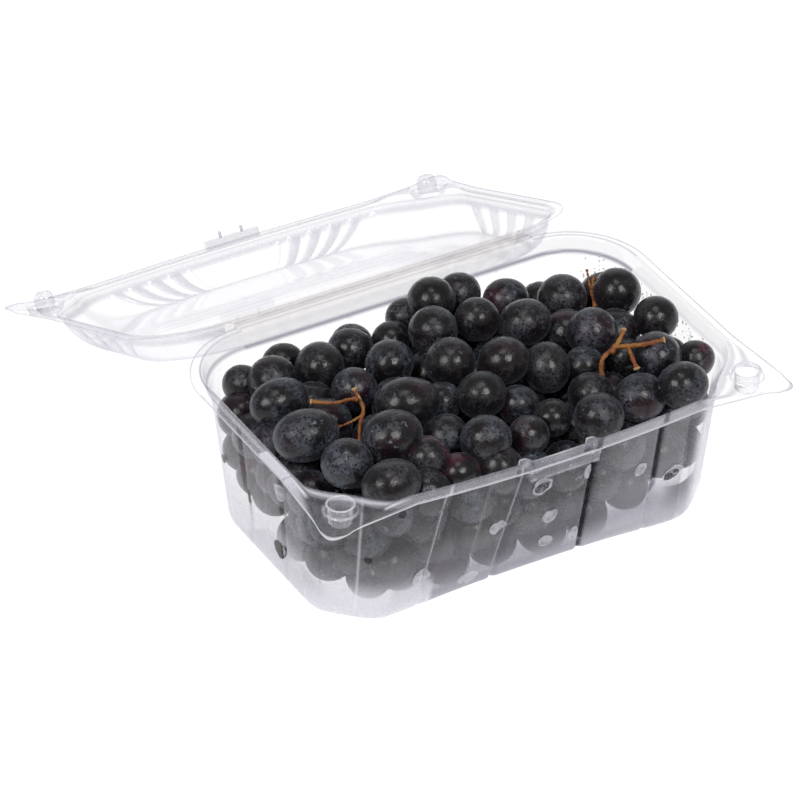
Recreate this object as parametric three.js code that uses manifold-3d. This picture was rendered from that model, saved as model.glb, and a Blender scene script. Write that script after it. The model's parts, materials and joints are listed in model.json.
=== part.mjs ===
// An open clear punnet of dark grapes, with its hinged lid lying back.
// Millimetres. +X runs along the hinge, +Y points from the latch to the hinge, +Z is up.
// The origin is the centre of the flat base that the punnet rests on.

import * as THREE from 'three';
import { mergeVertices } from 'three/addons/utils/BufferGeometryUtils.js';
import Module from 'manifold-3d';

const wasm = await Module();
wasm.setup();

// Driving dimensions of the tray
const DEPTH = 64; // resting face to the top of the flange
const WALL = 0.6;
const FLANGE_WIDTH = 4.6;
const MOUTH_HALF = { x: 88.6, y: 59 };
const BASE_HALF = { x: 81.4, y: 45.4 };
const BAND_HEIGHT = 5; // plain upright band under the flange
const BAND_STEP = 1.6; // how far the fluted wall stands in from the band
const FLUTE_DEPTH = 1.5; // of the upright grooves
const FRONT_BOW = 3; // the latch side bows out at its middle
const CORNER_FRONT = { mouth: 30, base: 22 };
const CORNER_BACK = { mouth: 27, base: 18 };
const CORNER_DENT = { mouth: 5, base: 2.5 }; // the front corners pull in under their buttons
const BASE_FILLET = 7;

// Ears and press buttons on the two front corners
const EAR_REACH = { x: 1.6, y: 5.4 }; // past the flange
const EAR_SQUARENESS = 0.2;
const BUTTON = { x: 84, y: -53.6 };
const CUP = { radius: 5.2, foot: 6.2, lip: 2.2, depth: 6 }; // its lip stands above the flange
const KNOB_GAP = 0.7; // between a cup and the lid's knob

// Latch at the middle of the front
const LATCH = { halfX: 14, y: [-66, -62.6], depth: 3 };
const LATCH_POST = { x: 5.5, halfX: 0.8, depth: 2.6 };
const LATCH_GAP = 0.7;

// Hinge and lid
const HINGE_Y = 66.6;
const HINGE_HALF_LENGTH = 65;
const LID_GAP = 0.4; // between the two flanges when shut
const OPEN_ANGLE = 204; // shut to lying back, in degrees
const LID_HEIGHT = 13.4;
const PANEL_HALF = { x: 81, y: 50 };
const PANEL_CORNER_FRONT = 44;
const PANEL_DENT = 9;

// Grapes and stalks
const GRAPE_RADIUS = 9.2;
const GRAPE_PITCH = 16.4;
const HEAP_GAP = 0.5; // from heap to tray
const HEAP_CELL = 5.6;
const HEAP_TOP = DEPTH + 10.8;
const BUMP_SOFTNESS = 1.6;
const STALK_GAP = 0.45;

// How finely each side and corner of an outline is divided
const LONG_STEPS = 24;
const SHORT_STEPS = 12;
const CORNER_STEPS = 8;
const TRAY_FLUTE_PITCH = 6; // in steps
const LID_FLUTE_PITCH = 2;
const ROUND_STEPS = 16;

const lerp = THREE.MathUtils.lerp;
const smooth = THREE.MathUtils.smoothstep;

/** 1 on the vertices that a groove draws inwards, 0 on the others. */
const inFlute = (step, pitch) => (step % pitch === Math.floor(pitch / 2) ? 1 : 0);

/**
 * One level of the punnet's outline, anticlockwise from above, as points at height z.
 * The four sides are straight but for flutes and the front's bow, and the four corners are arcs.
 */
function outline({
  half, front, back, dent = 0, flute = 0, pitch = TRAY_FLUTE_PITCH, bow = FRONT_BOW, ear = null, z,
}) {
  const points = [];
  const put = (x, y) => points.push(new THREE.Vector3(x, y, z));
  const frontX = half.x - front;
  const backX = half.x - back;
  const frontY = front - half.y;
  const backY = half.y - back;
  const bowAt = (x) => bow * (1 - (x / frontX) ** 2);

  for (let i = 0; i < LONG_STEPS; i++) {
    const x = lerp(-frontX, frontX, i / LONG_STEPS);
    put(x, -half.y - bowAt(x) + flute * inFlute(i, pitch));
  }
  frontCorner(1);
  for (let i = 0; i < SHORT_STEPS; i++) {
    put(half.x - flute * inFlute(i, pitch), lerp(frontY, backY, i / SHORT_STEPS));
  }
  arc(backX, backY, back, 0);
  for (let i = 0; i < LONG_STEPS; i++) {
    put(lerp(backX, -backX, i / LONG_STEPS), half.y - flute * inFlute(i, pitch));
  }
  arc(-backX, backY, back, Math.PI / 2);
  for (let i = 0; i < SHORT_STEPS; i++) {
    put(-half.x + flute * inFlute(i, pitch), lerp(backY, frontY, i / SHORT_STEPS));
  }
  frontCorner(-1);
  return points;

  function arc(cx, cy, radius, from) {
    for (let i = 0; i < CORNER_STEPS; i++) {
      const angle = from + (Math.PI / 2) * (i / CORNER_STEPS);
      put(cx + radius * Math.cos(angle), cy + radius * Math.sin(angle));
    }
  }

  function frontCorner(side) {
    for (let i = 0; i < CORNER_STEPS; i++) {
      const part = side > 0 ? i / CORNER_STEPS : 1 - i / CORNER_STEPS;
      const across = Math.sin((Math.PI / 2) * part);
      const down = Math.cos((Math.PI / 2) * part);
      const bulge = Math.sin(Math.PI * part);
      if (ear) {
        const x = frontX + (front + ear.x * bulge) * across ** EAR_SQUARENESS;
        const y = frontY - (front + ear.y * bulge) * down ** EAR_SQUARENESS;
        put(side * x, y);
      } else {
        const radius = front - dent * bulge ** 2;
        put(side * (frontX + radius * across), frontY - radius * down);
      }
    }
  }
}

/** A level of the tray's wall: 0 is the base's plane and 1 the mouth, grown outwards by `grow`. */
function trayLevel(level, grow, z, flute = 0) {
  return outline({
    half: {
      x: lerp(BASE_HALF.x, MOUTH_HALF.x, level) + grow,
      y: lerp(BASE_HALF.y, MOUTH_HALF.y, level) + grow,
    },
    front: lerp(CORNER_FRONT.base, CORNER_FRONT.mouth, level) + grow,
    back: lerp(CORNER_BACK.base, CORNER_BACK.mouth, level) + grow,
    dent: lerp(CORNER_DENT.base, CORNER_DENT.mouth, level),
    flute,
    z,
  });
}

/** The flange's outer edge, with an ear on each front corner. */
function flangeEdge(z) {
  return outline({
    half: { x: MOUTH_HALF.x + FLANGE_WIDTH, y: MOUTH_HALF.y + FLANGE_WIDTH },
    front: CORNER_FRONT.mouth + FLANGE_WIDTH,
    back: CORNER_BACK.mouth + FLANGE_WIDTH,
    ear: EAR_REACH,
    z,
  });
}

/** A closed solid carried through rings of equal length, with a flat fan over each end. */
function loft(rings) {
  const count = rings[0].length;
  const centre = (ring) => new THREE.Vector3(0, 0, ring[0].z);
  const vertices = [...rings.flat(), centre(rings[0]), centre(rings.at(-1))];
  const first = rings.length * count;
  const indices = [];
  for (let r = 0; r + 1 < rings.length; r++) {
    for (let i = 0; i < count; i++) {
      const next = (i + 1) % count;
      const [a, b, c, d] = [r * count + i, r * count + next, (r + 1) * count + next, (r + 1) * count + i];
      indices.push(a, b, c, a, c, d);
    }
  }
  for (let i = 0; i < count; i++) {
    const next = (i + 1) % count;
    indices.push(first, next, i);
    indices.push(first + 1, first - count + i, first - count + next);
  }
  const geometry = new THREE.BufferGeometry().setFromPoints(vertices);
  geometry.setIndex(indices);
  return geometry;
}

/** Hands a closed geometry to the solid library. */
function solid(geometry) {
  const bare = geometry.clone();
  bare.deleteAttribute('normal');
  bare.deleteAttribute('uv');
  const merged = mergeVertices(bare, 1e-4);
  return new wasm.Manifold(new wasm.Mesh({
    numProp: 3,
    vertProperties: Float32Array.from(merged.attributes.position.array),
    triVerts: Uint32Array.from(merged.index.array),
  }));
}

/** Turns a solid back into a geometry. */
function toGeometry(manifold) {
  const mesh = manifold.getMesh();
  const geometry = new THREE.BufferGeometry();
  geometry.setAttribute('position', new THREE.BufferAttribute(Float32Array.from(mesh.vertProperties), 3));
  geometry.setIndex(new THREE.BufferAttribute(Uint32Array.from(mesh.triVerts), 1));
  geometry.computeVertexNormals();
  return geometry;
}

/** A block given by its ranges along X, Y and Z. */
function block([x0, x1], [y0, y1], [z0, z1]) {
  const box = new THREE.BoxGeometry(x1 - x0, y1 - y0, z1 - z0);
  return solid(box.translate((x0 + x1) / 2, (y0 + y1) / 2, (z0 + z1) / 2));
}

/** An upright round peg, with its radius at its lower and its upper end. */
function peg(x, y, lower, upper, z0, z1) {
  const cylinder = new THREE.CylinderGeometry(upper, lower, z1 - z0, ROUND_STEPS);
  return solid(cylinder.rotateX(Math.PI / 2).translate(x, y, (z0 + z1) / 2));
}

/** A plain tapered interior: the space inside the tray's wall, drawn in by `gap`. */
function interior(gap) {
  const fillet = BASE_FILLET / DEPTH;
  const wallTop = DEPTH - BAND_HEIGHT - BAND_STEP;
  const ring = (level, inset, z, flute) => trayLevel(level, -gap - inset, z, flute);
  return solid(loft([
    ring(0, BASE_FILLET, WALL + gap, 0),
    ring(fillet * 0.3, BASE_FILLET * 0.3, WALL + gap + BASE_FILLET * 0.3, FLUTE_DEPTH / 2),
    ring(fillet, 0, WALL + gap + BASE_FILLET, FLUTE_DEPTH),
    ring(wallTop / DEPTH, BAND_STEP, wallTop, FLUTE_DEPTH),
    ring(1, 2.5 * BAND_STEP, DEPTH + LID_HEIGHT, 0),
  ]));
}

/** The tray: fluted walls, a filleted base, an upright band, a flange with ears, cups and a latch pocket. */
function makeTray() {
  const fillet = BASE_FILLET / DEPTH;
  const wallTop = DEPTH - BAND_HEIGHT - BAND_STEP;
  const levels = [
    // level, inset, height, flute
    [0, BASE_FILLET, 0, 0],
    [fillet * 0.3, BASE_FILLET * 0.3, BASE_FILLET * 0.3, FLUTE_DEPTH / 2],
    [fillet, 0, BASE_FILLET, FLUTE_DEPTH],
    [wallTop / DEPTH, BAND_STEP, wallTop, FLUTE_DEPTH],
    [1, 0, DEPTH - BAND_HEIGHT, 0],
  ];
  const outside = levels.map(([level, inset, z, flute]) => trayLevel(level, WALL - inset, z, flute));
  const inside = levels.map(([level, inset, z, flute]) => trayLevel(level, -inset, z + WALL, flute));
  let tray = solid(loft([
    ...outside,
    trayLevel(1, WALL, DEPTH - WALL),
    flangeEdge(DEPTH - WALL),
    flangeEdge(DEPTH),
    trayLevel(1, 0, DEPTH),
    ...inside.reverse(),
  ]));

  const hingeEdge = HINGE_Y - LID_GAP;
  tray = tray.add(hingeLeaf([MOUTH_HALF.y + 1, hingeEdge], [DEPTH - WALL, DEPTH]));

  for (const side of [-1, 1]) {
    const [x, y] = [side * BUTTON.x, BUTTON.y];
    tray = tray
      .add(peg(x, y, CUP.foot, CUP.radius, DEPTH - WALL / 2, DEPTH + CUP.lip))
      .add(peg(x, y, CUP.radius - WALL, CUP.radius, DEPTH - CUP.depth - WALL, DEPTH))
      .subtract(peg(x, y, CUP.radius - 2 * WALL, CUP.radius - WALL, DEPTH - CUP.depth, DEPTH + CUP.lip + 1));
  }

  const pocketDepth = LATCH.depth + LATCH_POST.depth + LATCH_GAP;
  const pocketX = LATCH.halfX + LATCH_GAP;
  const pocketY = [LATCH.y[0] - LATCH_GAP, LATCH.y[1] + LATCH_GAP];
  return tray
    .add(block([-pocketX - WALL, pocketX + WALL], [pocketY[0] - WALL, pocketY[1] + WALL],
      [DEPTH - pocketDepth - WALL, DEPTH]))
    .subtract(block([-pocketX, pocketX], pocketY, [DEPTH - pocketDepth, DEPTH + 1]));
}

/** One leaf of the hinge: a strip along the back of a flange, with its ends tapering in. */
function hingeLeaf([y0, y1], [z0, z1]) {
  const taper = 3;
  const shape = new THREE.Shape([
    new THREE.Vector2(-HINGE_HALF_LENGTH - taper, Math.min(y0, y1)),
    new THREE.Vector2(HINGE_HALF_LENGTH + taper, Math.min(y0, y1)),
    new THREE.Vector2(HINGE_HALF_LENGTH, Math.max(y0, y1)),
    new THREE.Vector2(-HINGE_HALF_LENGTH, Math.max(y0, y1)),
  ]);
  const strip = new THREE.ExtrudeGeometry(shape, { depth: z1 - z0, bevelEnabled: false });
  return solid(strip.translate(0, 0, z0));
}

/** The lid in its shut place: a flange like the tray's, a low fluted dome, two knobs and a latch tab. */
function makeLid() {
  const foot = DEPTH + LID_GAP;
  const top = foot + LID_HEIGHT;
  const panel = (grow, z) => outline({
    half: { x: PANEL_HALF.x + grow, y: PANEL_HALF.y + grow },
    front: PANEL_CORNER_FRONT,
    back: CORNER_BACK.mouth,
    dent: PANEL_DENT - grow,
    bow: FRONT_BOW,
    z,
  });
  const shoulder = (grow, z) => outline({
    half: { x: MOUTH_HALF.x - BAND_STEP + grow, y: MOUTH_HALF.y - BAND_STEP + grow },
    front: CORNER_FRONT.mouth + BAND_STEP * 2,
    back: CORNER_BACK.mouth,
    dent: CORNER_DENT.mouth + BAND_STEP,
    flute: FLUTE_DEPTH,
    pitch: LID_FLUTE_PITCH,
    z,
  });
  const shoulderRise = 2.4;
  let lid = solid(loft([
    panel(-WALL, top - WALL),
    shoulder(-WALL, foot + shoulderRise),
    trayLevel(1, 0, foot),
    flangeEdge(foot),
    flangeEdge(foot + WALL),
    trayLevel(1, 0, foot + WALL),
    shoulder(0, foot + shoulderRise + WALL),
    panel(0, top),
  ]));

  lid = lid.add(hingeLeaf([MOUTH_HALF.y + 1, HINGE_Y - LID_GAP], [foot, foot + WALL]));
  const boss = CUP.foot + KNOB_GAP;
  const bossTop = DEPTH + CUP.lip + KNOB_GAP;
  const knob = CUP.radius - WALL - KNOB_GAP;
  const knobEnd = DEPTH - CUP.depth + KNOB_GAP;
  for (const side of [-1, 1]) {
    const [x, y] = [side * BUTTON.x, BUTTON.y];
    lid = lid
      .add(peg(x, y, boss + WALL, boss + WALL, foot + WALL / 2, bossTop + WALL))
      .subtract(peg(x, y, boss, boss, foot - 1, bossTop))
      .add(peg(x, y, knob - WALL, knob, knobEnd, bossTop + WALL))
      .subtract(peg(x, y, knob - 2 * WALL, knob - WALL, knobEnd + WALL, foot + LID_HEIGHT));
  }
  lid = lid.add(block([-LATCH.halfX, LATCH.halfX], LATCH.y, [DEPTH - LATCH.depth, foot + WALL]));
  for (const side of [-1, 1]) {
    const x = side * LATCH_POST.x;
    const bottom = DEPTH - LATCH.depth - LATCH_POST.depth;
    lid = lid.add(block([x - LATCH_POST.halfX, x + LATCH_POST.halfX], [LATCH.y[0] + 1, LATCH.y[1] - 1],
      [bottom, foot]));
  }
  return lid;
}

/** A repeatable number from 0 to 1 for each pair of whole numbers. */
function scatter(i, j) {
  const wave = Math.sin(i * 127.1 + j * 311.7) * 43758.5453;
  return wave - Math.floor(wave);
}

/** The height of the heap's middle surface: crowned, and low along the back and in the back corners. */
function heapSurface(x, y) {
  const crown = 3 - 4 * (x / 80) ** 2 - 3 * ((y - 8) / 50) ** 2;
  const backWall = -7 * smooth(y, 28, 52);
  const backLeft = -6 * smooth(-x, 30, 80) * smooth(y, 10, 50);
  const backRight = -14 * smooth(x, 42, 80) * smooth(y, 22, 50);
  const frontWall = -3 * smooth(-y, 30, 55);
  const sideWalls = -6 * smooth(Math.abs(x), 64, 84);
  return DEPTH + crown + backWall + backLeft + backRight + frontWall + sideWalls;
}

/** Where the upper grapes lie: staggered rows, each grape moved a little off its place. */
function upperGrapes() {
  const grapes = [];
  const rowPitch = GRAPE_PITCH * 0.86;
  for (let row = -4; row <= 4; row++) {
    for (let column = -6; column <= 6; column++) {
      const shift = row % 2 ? GRAPE_PITCH / 2 : 0;
      const x = column * GRAPE_PITCH + shift + 4 * (scatter(row, column) - 0.5);
      const y = row * rowPitch + 4 * (scatter(column, row) - 0.5);
      const radius = GRAPE_RADIUS * (0.9 + 0.18 * scatter(row + 20, column));
      const z = heapSurface(x, y) - 2 + 4.4 * (scatter(row, column + 40) - 0.5);
      grapes.push({ x, y, z, radius });
    }
  }
  return grapes;
}

/** The grapes as one solid: the tray's inside up to a surface of round tops. */
function makeHeap(stalks) {
  const grapes = upperGrapes();
  const countX = Math.ceil((2 * MOUTH_HALF.x) / HEAP_CELL);
  const countY = Math.ceil((2 * (MOUTH_HALF.y + FRONT_BOW)) / HEAP_CELL);
  const floor = -10;
  // Each grape is a round-topped bump, and a soft maximum joins the bumps.
  const heightAt = (x, y) => {
    let sum = 0;
    for (const grape of grapes) {
      const away = ((x - grape.x) ** 2 + (y - grape.y) ** 2) / grape.radius ** 2;
      sum += Math.exp((grape.z - DEPTH + grape.radius * (1 - 0.8 * away)) / BUMP_SOFTNESS);
    }
    return Math.min(DEPTH + BUMP_SOFTNESS * Math.log(sum), HEAP_TOP);
  };
  const vertices = [];
  for (let j = 0; j <= countY; j++) {
    for (let i = 0; i <= countX; i++) {
      const x = (i - countX / 2) * HEAP_CELL;
      const y = (j - countY / 2) * HEAP_CELL;
      vertices.push(new THREE.Vector3(x, y, heightAt(x, y)));
    }
  }
  const across = countX + 1;
  const indices = [];
  for (let j = 0; j < countY; j++) {
    for (let i = 0; i < countX; i++) {
      const a = j * across + i;
      indices.push(a, a + 1, a + across + 1, a, a + across + 1, a + across);
    }
  }
  const rim = [];
  for (let i = 0; i < countX; i++) rim.push(i);
  for (let j = 0; j < countY; j++) rim.push(j * across + countX);
  for (let i = countX; i > 0; i--) rim.push(countY * across + i);
  for (let j = countY; j > 0; j--) rim.push(j * across);
  const below = vertices.length;
  for (const k of rim) vertices.push(new THREE.Vector3(vertices[k].x, vertices[k].y, floor));
  vertices.push(new THREE.Vector3(0, 0, floor));
  const bottomCentre = vertices.length - 1;
  rim.forEach((k, n) => {
    const m = (n + 1) % rim.length;
    indices.push(below + n, below + m, rim[m], below + n, rim[m], k);
    indices.push(bottomCentre, below + m, below + n);
  });
  const cover = new THREE.BufferGeometry().setFromPoints(vertices);
  cover.setIndex(indices);
  let heap = interior(HEAP_GAP).intersect(solid(cover));
  for (const stalk of stalks) heap = heap.subtract(stalk);
  return heap;
}

/** A round branch through a list of points. */
function branch(points, radius) {
  const curve = new THREE.CatmullRomCurve3(points.map(([x, y, z]) => new THREE.Vector3(x, y, DEPTH + z)));
  const section = new THREE.Shape();
  section.absarc(0, 0, radius, 0, 2 * Math.PI);
  return solid(new THREE.ExtrudeGeometry(section, {
    steps: 3 * (points.length - 1),
    curveSegments: 4,
    bevelEnabled: false,
    extrudePath: curve,
  }));
}

// Each stalk is a main branch and its side branches, with heights from the top of the flange.
const STALKS = {
  stalk_left: [
    [[-60, -20, -3], [-54, -13, 2], [-50.5, -8, 5], [-50, -3, 9]],
    [[-51, -6, 6.4], [-57.5, -4, 6.4], [-65.5, 1.5, 5.6]],
  ],
  stalk_right: [
    [[38.5, -29, -5], [40, -25.5, 4.5], [46.5, -24.5, 7], [51.5, -21.5, 10.4]],
    [[45, -25, 6.6], [52.5, -30, 8], [62, -32, 8.4]],
    [[49, -27.5, 7.4], [48, -33, 5.6], [47.5, -37, 3.6]],
  ],
  stalk_back: [
    [[62.5, 16, -4], [62.5, 21, 3], [64.5, 27, 6]],
  ],
};
const STALK_RADIUS = 1.15;

/** One stalk with its side branches, grown by `gap`. */
function makeStalk(branches, gap = 0) {
  const [main, ...sides] = branches.map((points) => branch(points, STALK_RADIUS + gap));
  return sides.reduce((whole, side) => whole.add(side), main);
}

/** A named mesh with a plain material. */
function piece(name, geometry, color, roughness, opacity = 1) {
  const material = new THREE.MeshStandardMaterial({ color, roughness, metalness: 0 });
  material.opacity = opacity;
  material.transparent = opacity < 1;
  const mesh = new THREE.Mesh(geometry, material);
  mesh.name = name;
  return mesh;
}

const punnet = new THREE.Group();
punnet.add(piece('tray', toGeometry(makeTray()), 0xe8ecf0, 0.08, 0.3));

const stalkCuts = Object.values(STALKS).map((branches) => makeStalk(branches, STALK_GAP));
punnet.add(piece('grape_heap', toGeometry(makeHeap(stalkCuts)), 0x17161d, 0.45));
for (const [name, branches] of Object.entries(STALKS)) {
  punnet.add(piece(name, toGeometry(makeStalk(branches)), 0x9a5a26, 0.7));
}

const lidSwing = new THREE.Group();
const hingeHeight = DEPTH + LID_GAP / 2;
lidSwing.position.set(0, HINGE_Y, hingeHeight);
lidSwing.rotation.x = THREE.MathUtils.degToRad(-OPEN_ANGLE);
const lid = piece('lid', toGeometry(makeLid()), 0xe8ecf0, 0.08, 0.3);
lid.position.set(0, -HINGE_Y, -hingeHeight);
lidSwing.add(lid);
punnet.add(lidSwing);

export default punnet;
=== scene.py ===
"""An open clear punnet of dark grapes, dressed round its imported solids.

Inside the classes every length is in millimetres in the part's own frame: +X along the hinge, +Y from
the latch to the hinge, +Z up, with the origin at the centre of the base. Meshes are written in metres.
"""

import json
import logging
import math
from dataclasses import dataclass
from enum import Enum, IntEnum

import bpy
import numpy as np
from mathutils import Matrix, Vector

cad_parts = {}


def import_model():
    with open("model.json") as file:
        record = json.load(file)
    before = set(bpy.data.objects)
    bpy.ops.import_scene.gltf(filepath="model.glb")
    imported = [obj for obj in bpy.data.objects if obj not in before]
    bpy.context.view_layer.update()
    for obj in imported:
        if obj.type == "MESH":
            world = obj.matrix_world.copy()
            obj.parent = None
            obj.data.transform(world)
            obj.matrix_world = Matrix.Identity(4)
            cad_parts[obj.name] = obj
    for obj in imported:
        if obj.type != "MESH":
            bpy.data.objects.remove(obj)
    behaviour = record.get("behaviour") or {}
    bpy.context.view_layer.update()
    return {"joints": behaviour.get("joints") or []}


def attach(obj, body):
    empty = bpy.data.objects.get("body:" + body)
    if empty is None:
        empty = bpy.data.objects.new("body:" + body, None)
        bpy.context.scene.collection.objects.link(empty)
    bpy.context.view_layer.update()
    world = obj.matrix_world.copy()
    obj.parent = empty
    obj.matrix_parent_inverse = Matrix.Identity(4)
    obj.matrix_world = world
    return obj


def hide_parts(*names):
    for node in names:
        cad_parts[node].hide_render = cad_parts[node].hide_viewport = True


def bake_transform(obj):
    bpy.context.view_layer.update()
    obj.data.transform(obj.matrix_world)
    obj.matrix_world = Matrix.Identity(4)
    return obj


log = logging.getLogger("punnet")

MM = 0.001
TURN = 2 * math.pi
Array = np.ndarray
Pair = tuple[float, float]
Point = tuple[float, float, float]
Colour = tuple[float, float, float]
Socket = bpy.types.NodeSocket
Material = bpy.types.Material
Object = bpy.types.Object


class Slot(Enum):
    """The record's material slots."""

    CLEAR = "clear_plastic"
    GRAPE = "grape_skin"
    STALK = "stalk"


class Body(Enum):
    """The bodies that pieces ride on."""

    TRAY = "tray"
    LID = "lid"


class Mark(Enum):
    """The kinds of spot on the wall."""

    WET = "wet"
    MILKY = "milky"


class Stretch(IntEnum):
    """The stretches of the plan, in their order round it."""

    FRONT = 0
    FRONT_RIGHT = 1
    RIGHT = 2
    BACK_RIGHT = 3
    BACK = 4
    BACK_LEFT = 5
    LEFT = 6
    FRONT_LEFT = 7


FRONT, FRONT_RIGHT, RIGHT, BACK_RIGHT, BACK, BACK_LEFT, LEFT, FRONT_LEFT = Stretch
FRONT_CORNERS = (FRONT_RIGHT, FRONT_LEFT)


# Small shared tools


def ease(value: Array, low: float, high: float) -> Array:
    """Rises smoothly from 0 at low to 1 at high.

    Args:
        value: where the step is read.
        low: where it starts.
        high: where it ends.

    Returns:
        The cubic step at each value.
    """
    part = np.clip((value - low) / (high - low), 0.0, 1.0)
    return part * part * (3.0 - 2.0 * part)


def window(value: Array, start: Pair, end: Pair) -> Array:
    """Rises smoothly from 0 to 1 over the first pair, and falls back to 0 over the second."""
    return ease(value, *start) * (1 - ease(value, *end))


def blend(start: float, end: float, part: Array) -> Array:
    """Mixes start and end in a straight line."""
    return start + (end - start) * part


def bell(value: Array, centre: float | Array, width: float | Array, power: int = 2) -> Array:
    """A bump of height 1: e to the minus (distance from the centre over the width) to the power."""
    return np.exp(-(((value - centre) / width) ** power))


def circle(steps: int) -> Array:
    """Evenly spaced angles round a circle."""
    return np.arange(steps) * TURN / steps


def unit(vectors: Array) -> Array:
    """Vectors, one to a row, brought to length 1."""
    return vectors / np.linalg.norm(vectors, axis=1, keepdims=True)


def grid_faces(rows: int, columns: int, closed: bool) -> Array:
    """Quads between neighbouring rows of a grid.

    Args:
        rows: how many rows of vertices there are.
        columns: how many vertices a row has.
        closed: whether each row is a ring.

    Returns:
        Vertex numbers, four to a face.
    """
    last = columns if closed else columns - 1
    r, c = np.meshgrid(np.arange(rows - 1), np.arange(last), indexing="ij")
    n = (c + 1) % columns
    faces = np.stack([r * columns + c, r * columns + n, (r + 1) * columns + n, (r + 1) * columns + c], -1)
    return faces.reshape(-1, 4)


def fan_faces(ring: Array, pole: int) -> Array:
    """Triangles from each edge of a ring of vertices to a pole."""
    return np.stack([ring, np.roll(ring, -1), np.full(len(ring), pole)], 1)


def capped_faces(rows: int, columns: int) -> list[Array]:
    """Quads of a closed grid, and triangles to a pole before its first row and one after its last.

    Args:
        rows: how many rings of vertices there are.
        columns: how many vertices a ring has.

    Returns:
        The quads and the triangles. The poles are the two vertices after the grid's own.
    """
    ring = np.arange(columns)
    first = fan_faces(ring, rows * columns)[:, ::-1]
    last = fan_faces((rows - 1) * columns + ring, rows * columns + 1)
    return [grid_faces(rows, columns, True), np.vstack([first, last])]


def repeat_faces(faces: Array, copies: int, vertices: int) -> Array:
    """Faces of a shape with some number of vertices, made again for each of its copies."""
    start = (np.arange(copies) * vertices)[:, None, None]
    return (faces[None] + start).reshape(-1, faces.shape[1])


def add_mesh(name: str, points: Array, faces: list[Array], smooth: bool = True) -> Object:
    """Makes an object from points in millimetres.

    Args:
        name: the piece's name.
        points: vertices, one to a row.
        faces: arrays of vertex numbers, one array for each number of corners.
        smooth: whether the faces are shaded as one smooth surface.

    Returns:
        The new object, at the origin.
    """
    corners = np.concatenate([f.ravel() for f in faces]).astype(np.int32)
    sizes = np.concatenate([np.full(len(f), f.shape[1]) for f in faces])
    starts = np.concatenate([[0], np.cumsum(sizes)[:-1]]).astype(np.int32)
    mesh = bpy.data.meshes.new(name)
    mesh.vertices.add(len(points))
    mesh.vertices.foreach_set("co", (points * MM).astype(np.float32).ravel())
    mesh.loops.add(len(corners))
    mesh.loops.foreach_set("vertex_index", corners)
    mesh.polygons.add(len(sizes))
    mesh.polygons.foreach_set("loop_start", starts)
    mesh.polygons.foreach_set("use_smooth", np.full(len(sizes), smooth))
    mesh.update(calc_edges=True)
    mesh.validate()
    return add_object(name, mesh)


def add_object(name: str, data: bpy.types.ID) -> Object:
    """Puts a mesh, a light or a camera into the scene, at the origin."""
    obj = bpy.data.objects.new(name, data)
    bpy.context.scene.collection.objects.link(obj)
    return obj


def add_values(obj: Object, name: str, values: Array) -> None:
    """Stores one number for each vertex under a name that a material can read."""
    attribute = obj.data.attributes.new(name, "FLOAT", "POINT")
    attribute.data.foreach_set("value", values.astype(np.float32).ravel())


@dataclass
class FilmLook:
    """How milky with painted highlight lines, how mirror-like, how dark with painted shade and how plainly
    cream one part of a clear piece is.
    """

    shape: tuple[int, ...]
    # Milky share: real haze, and painted highlight lines where edges and grooves catch light.
    haze_and_highlight: float | Array
    mirror: float | Array = 1.0
    # Painted shade: how far the see-through share is darkened, standing for dark reflections and dark grapes
    # seen through the film.
    painted_shade: float | Array = 0.0
    plain: float | Array = 0.0

    def values(self, name: str) -> Array:
        """One of the four, for every vertex of the part."""
        return np.broadcast_to(getattr(self, name), self.shape).ravel()


def add_film_looks(obj: Object, *parts: FilmLook) -> None:
    """Stores the looks of a clear piece, whose parts are given in the order of its vertices."""
    for name in ("haze_and_highlight", "mirror", "painted_shade", "plain"):
        add_values(obj, name, np.concatenate([part.values(name) for part in parts]))


def thicken(obj: Object, thickness: float) -> None:
    """Gives a sheet its wall, and closes its edges with the piece's second material."""
    solid = obj.modifiers.new("wall", "SOLIDIFY")
    solid.thickness = thickness * MM
    solid.offset = 0.0
    solid.use_even_offset = False
    solid.material_offset_rim = 1


def finish_piece(obj: Object, body: Body, slot: Slot, *materials: Material) -> None:
    """Dresses a piece, rides it on its body and reports it."""
    for material in materials:
        obj.data.materials.append(material)
    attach(obj, body.value)
    log.info("%s: %d vertices, on %s", obj.name, len(obj.data.vertices), body.value)


# Materials


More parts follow.
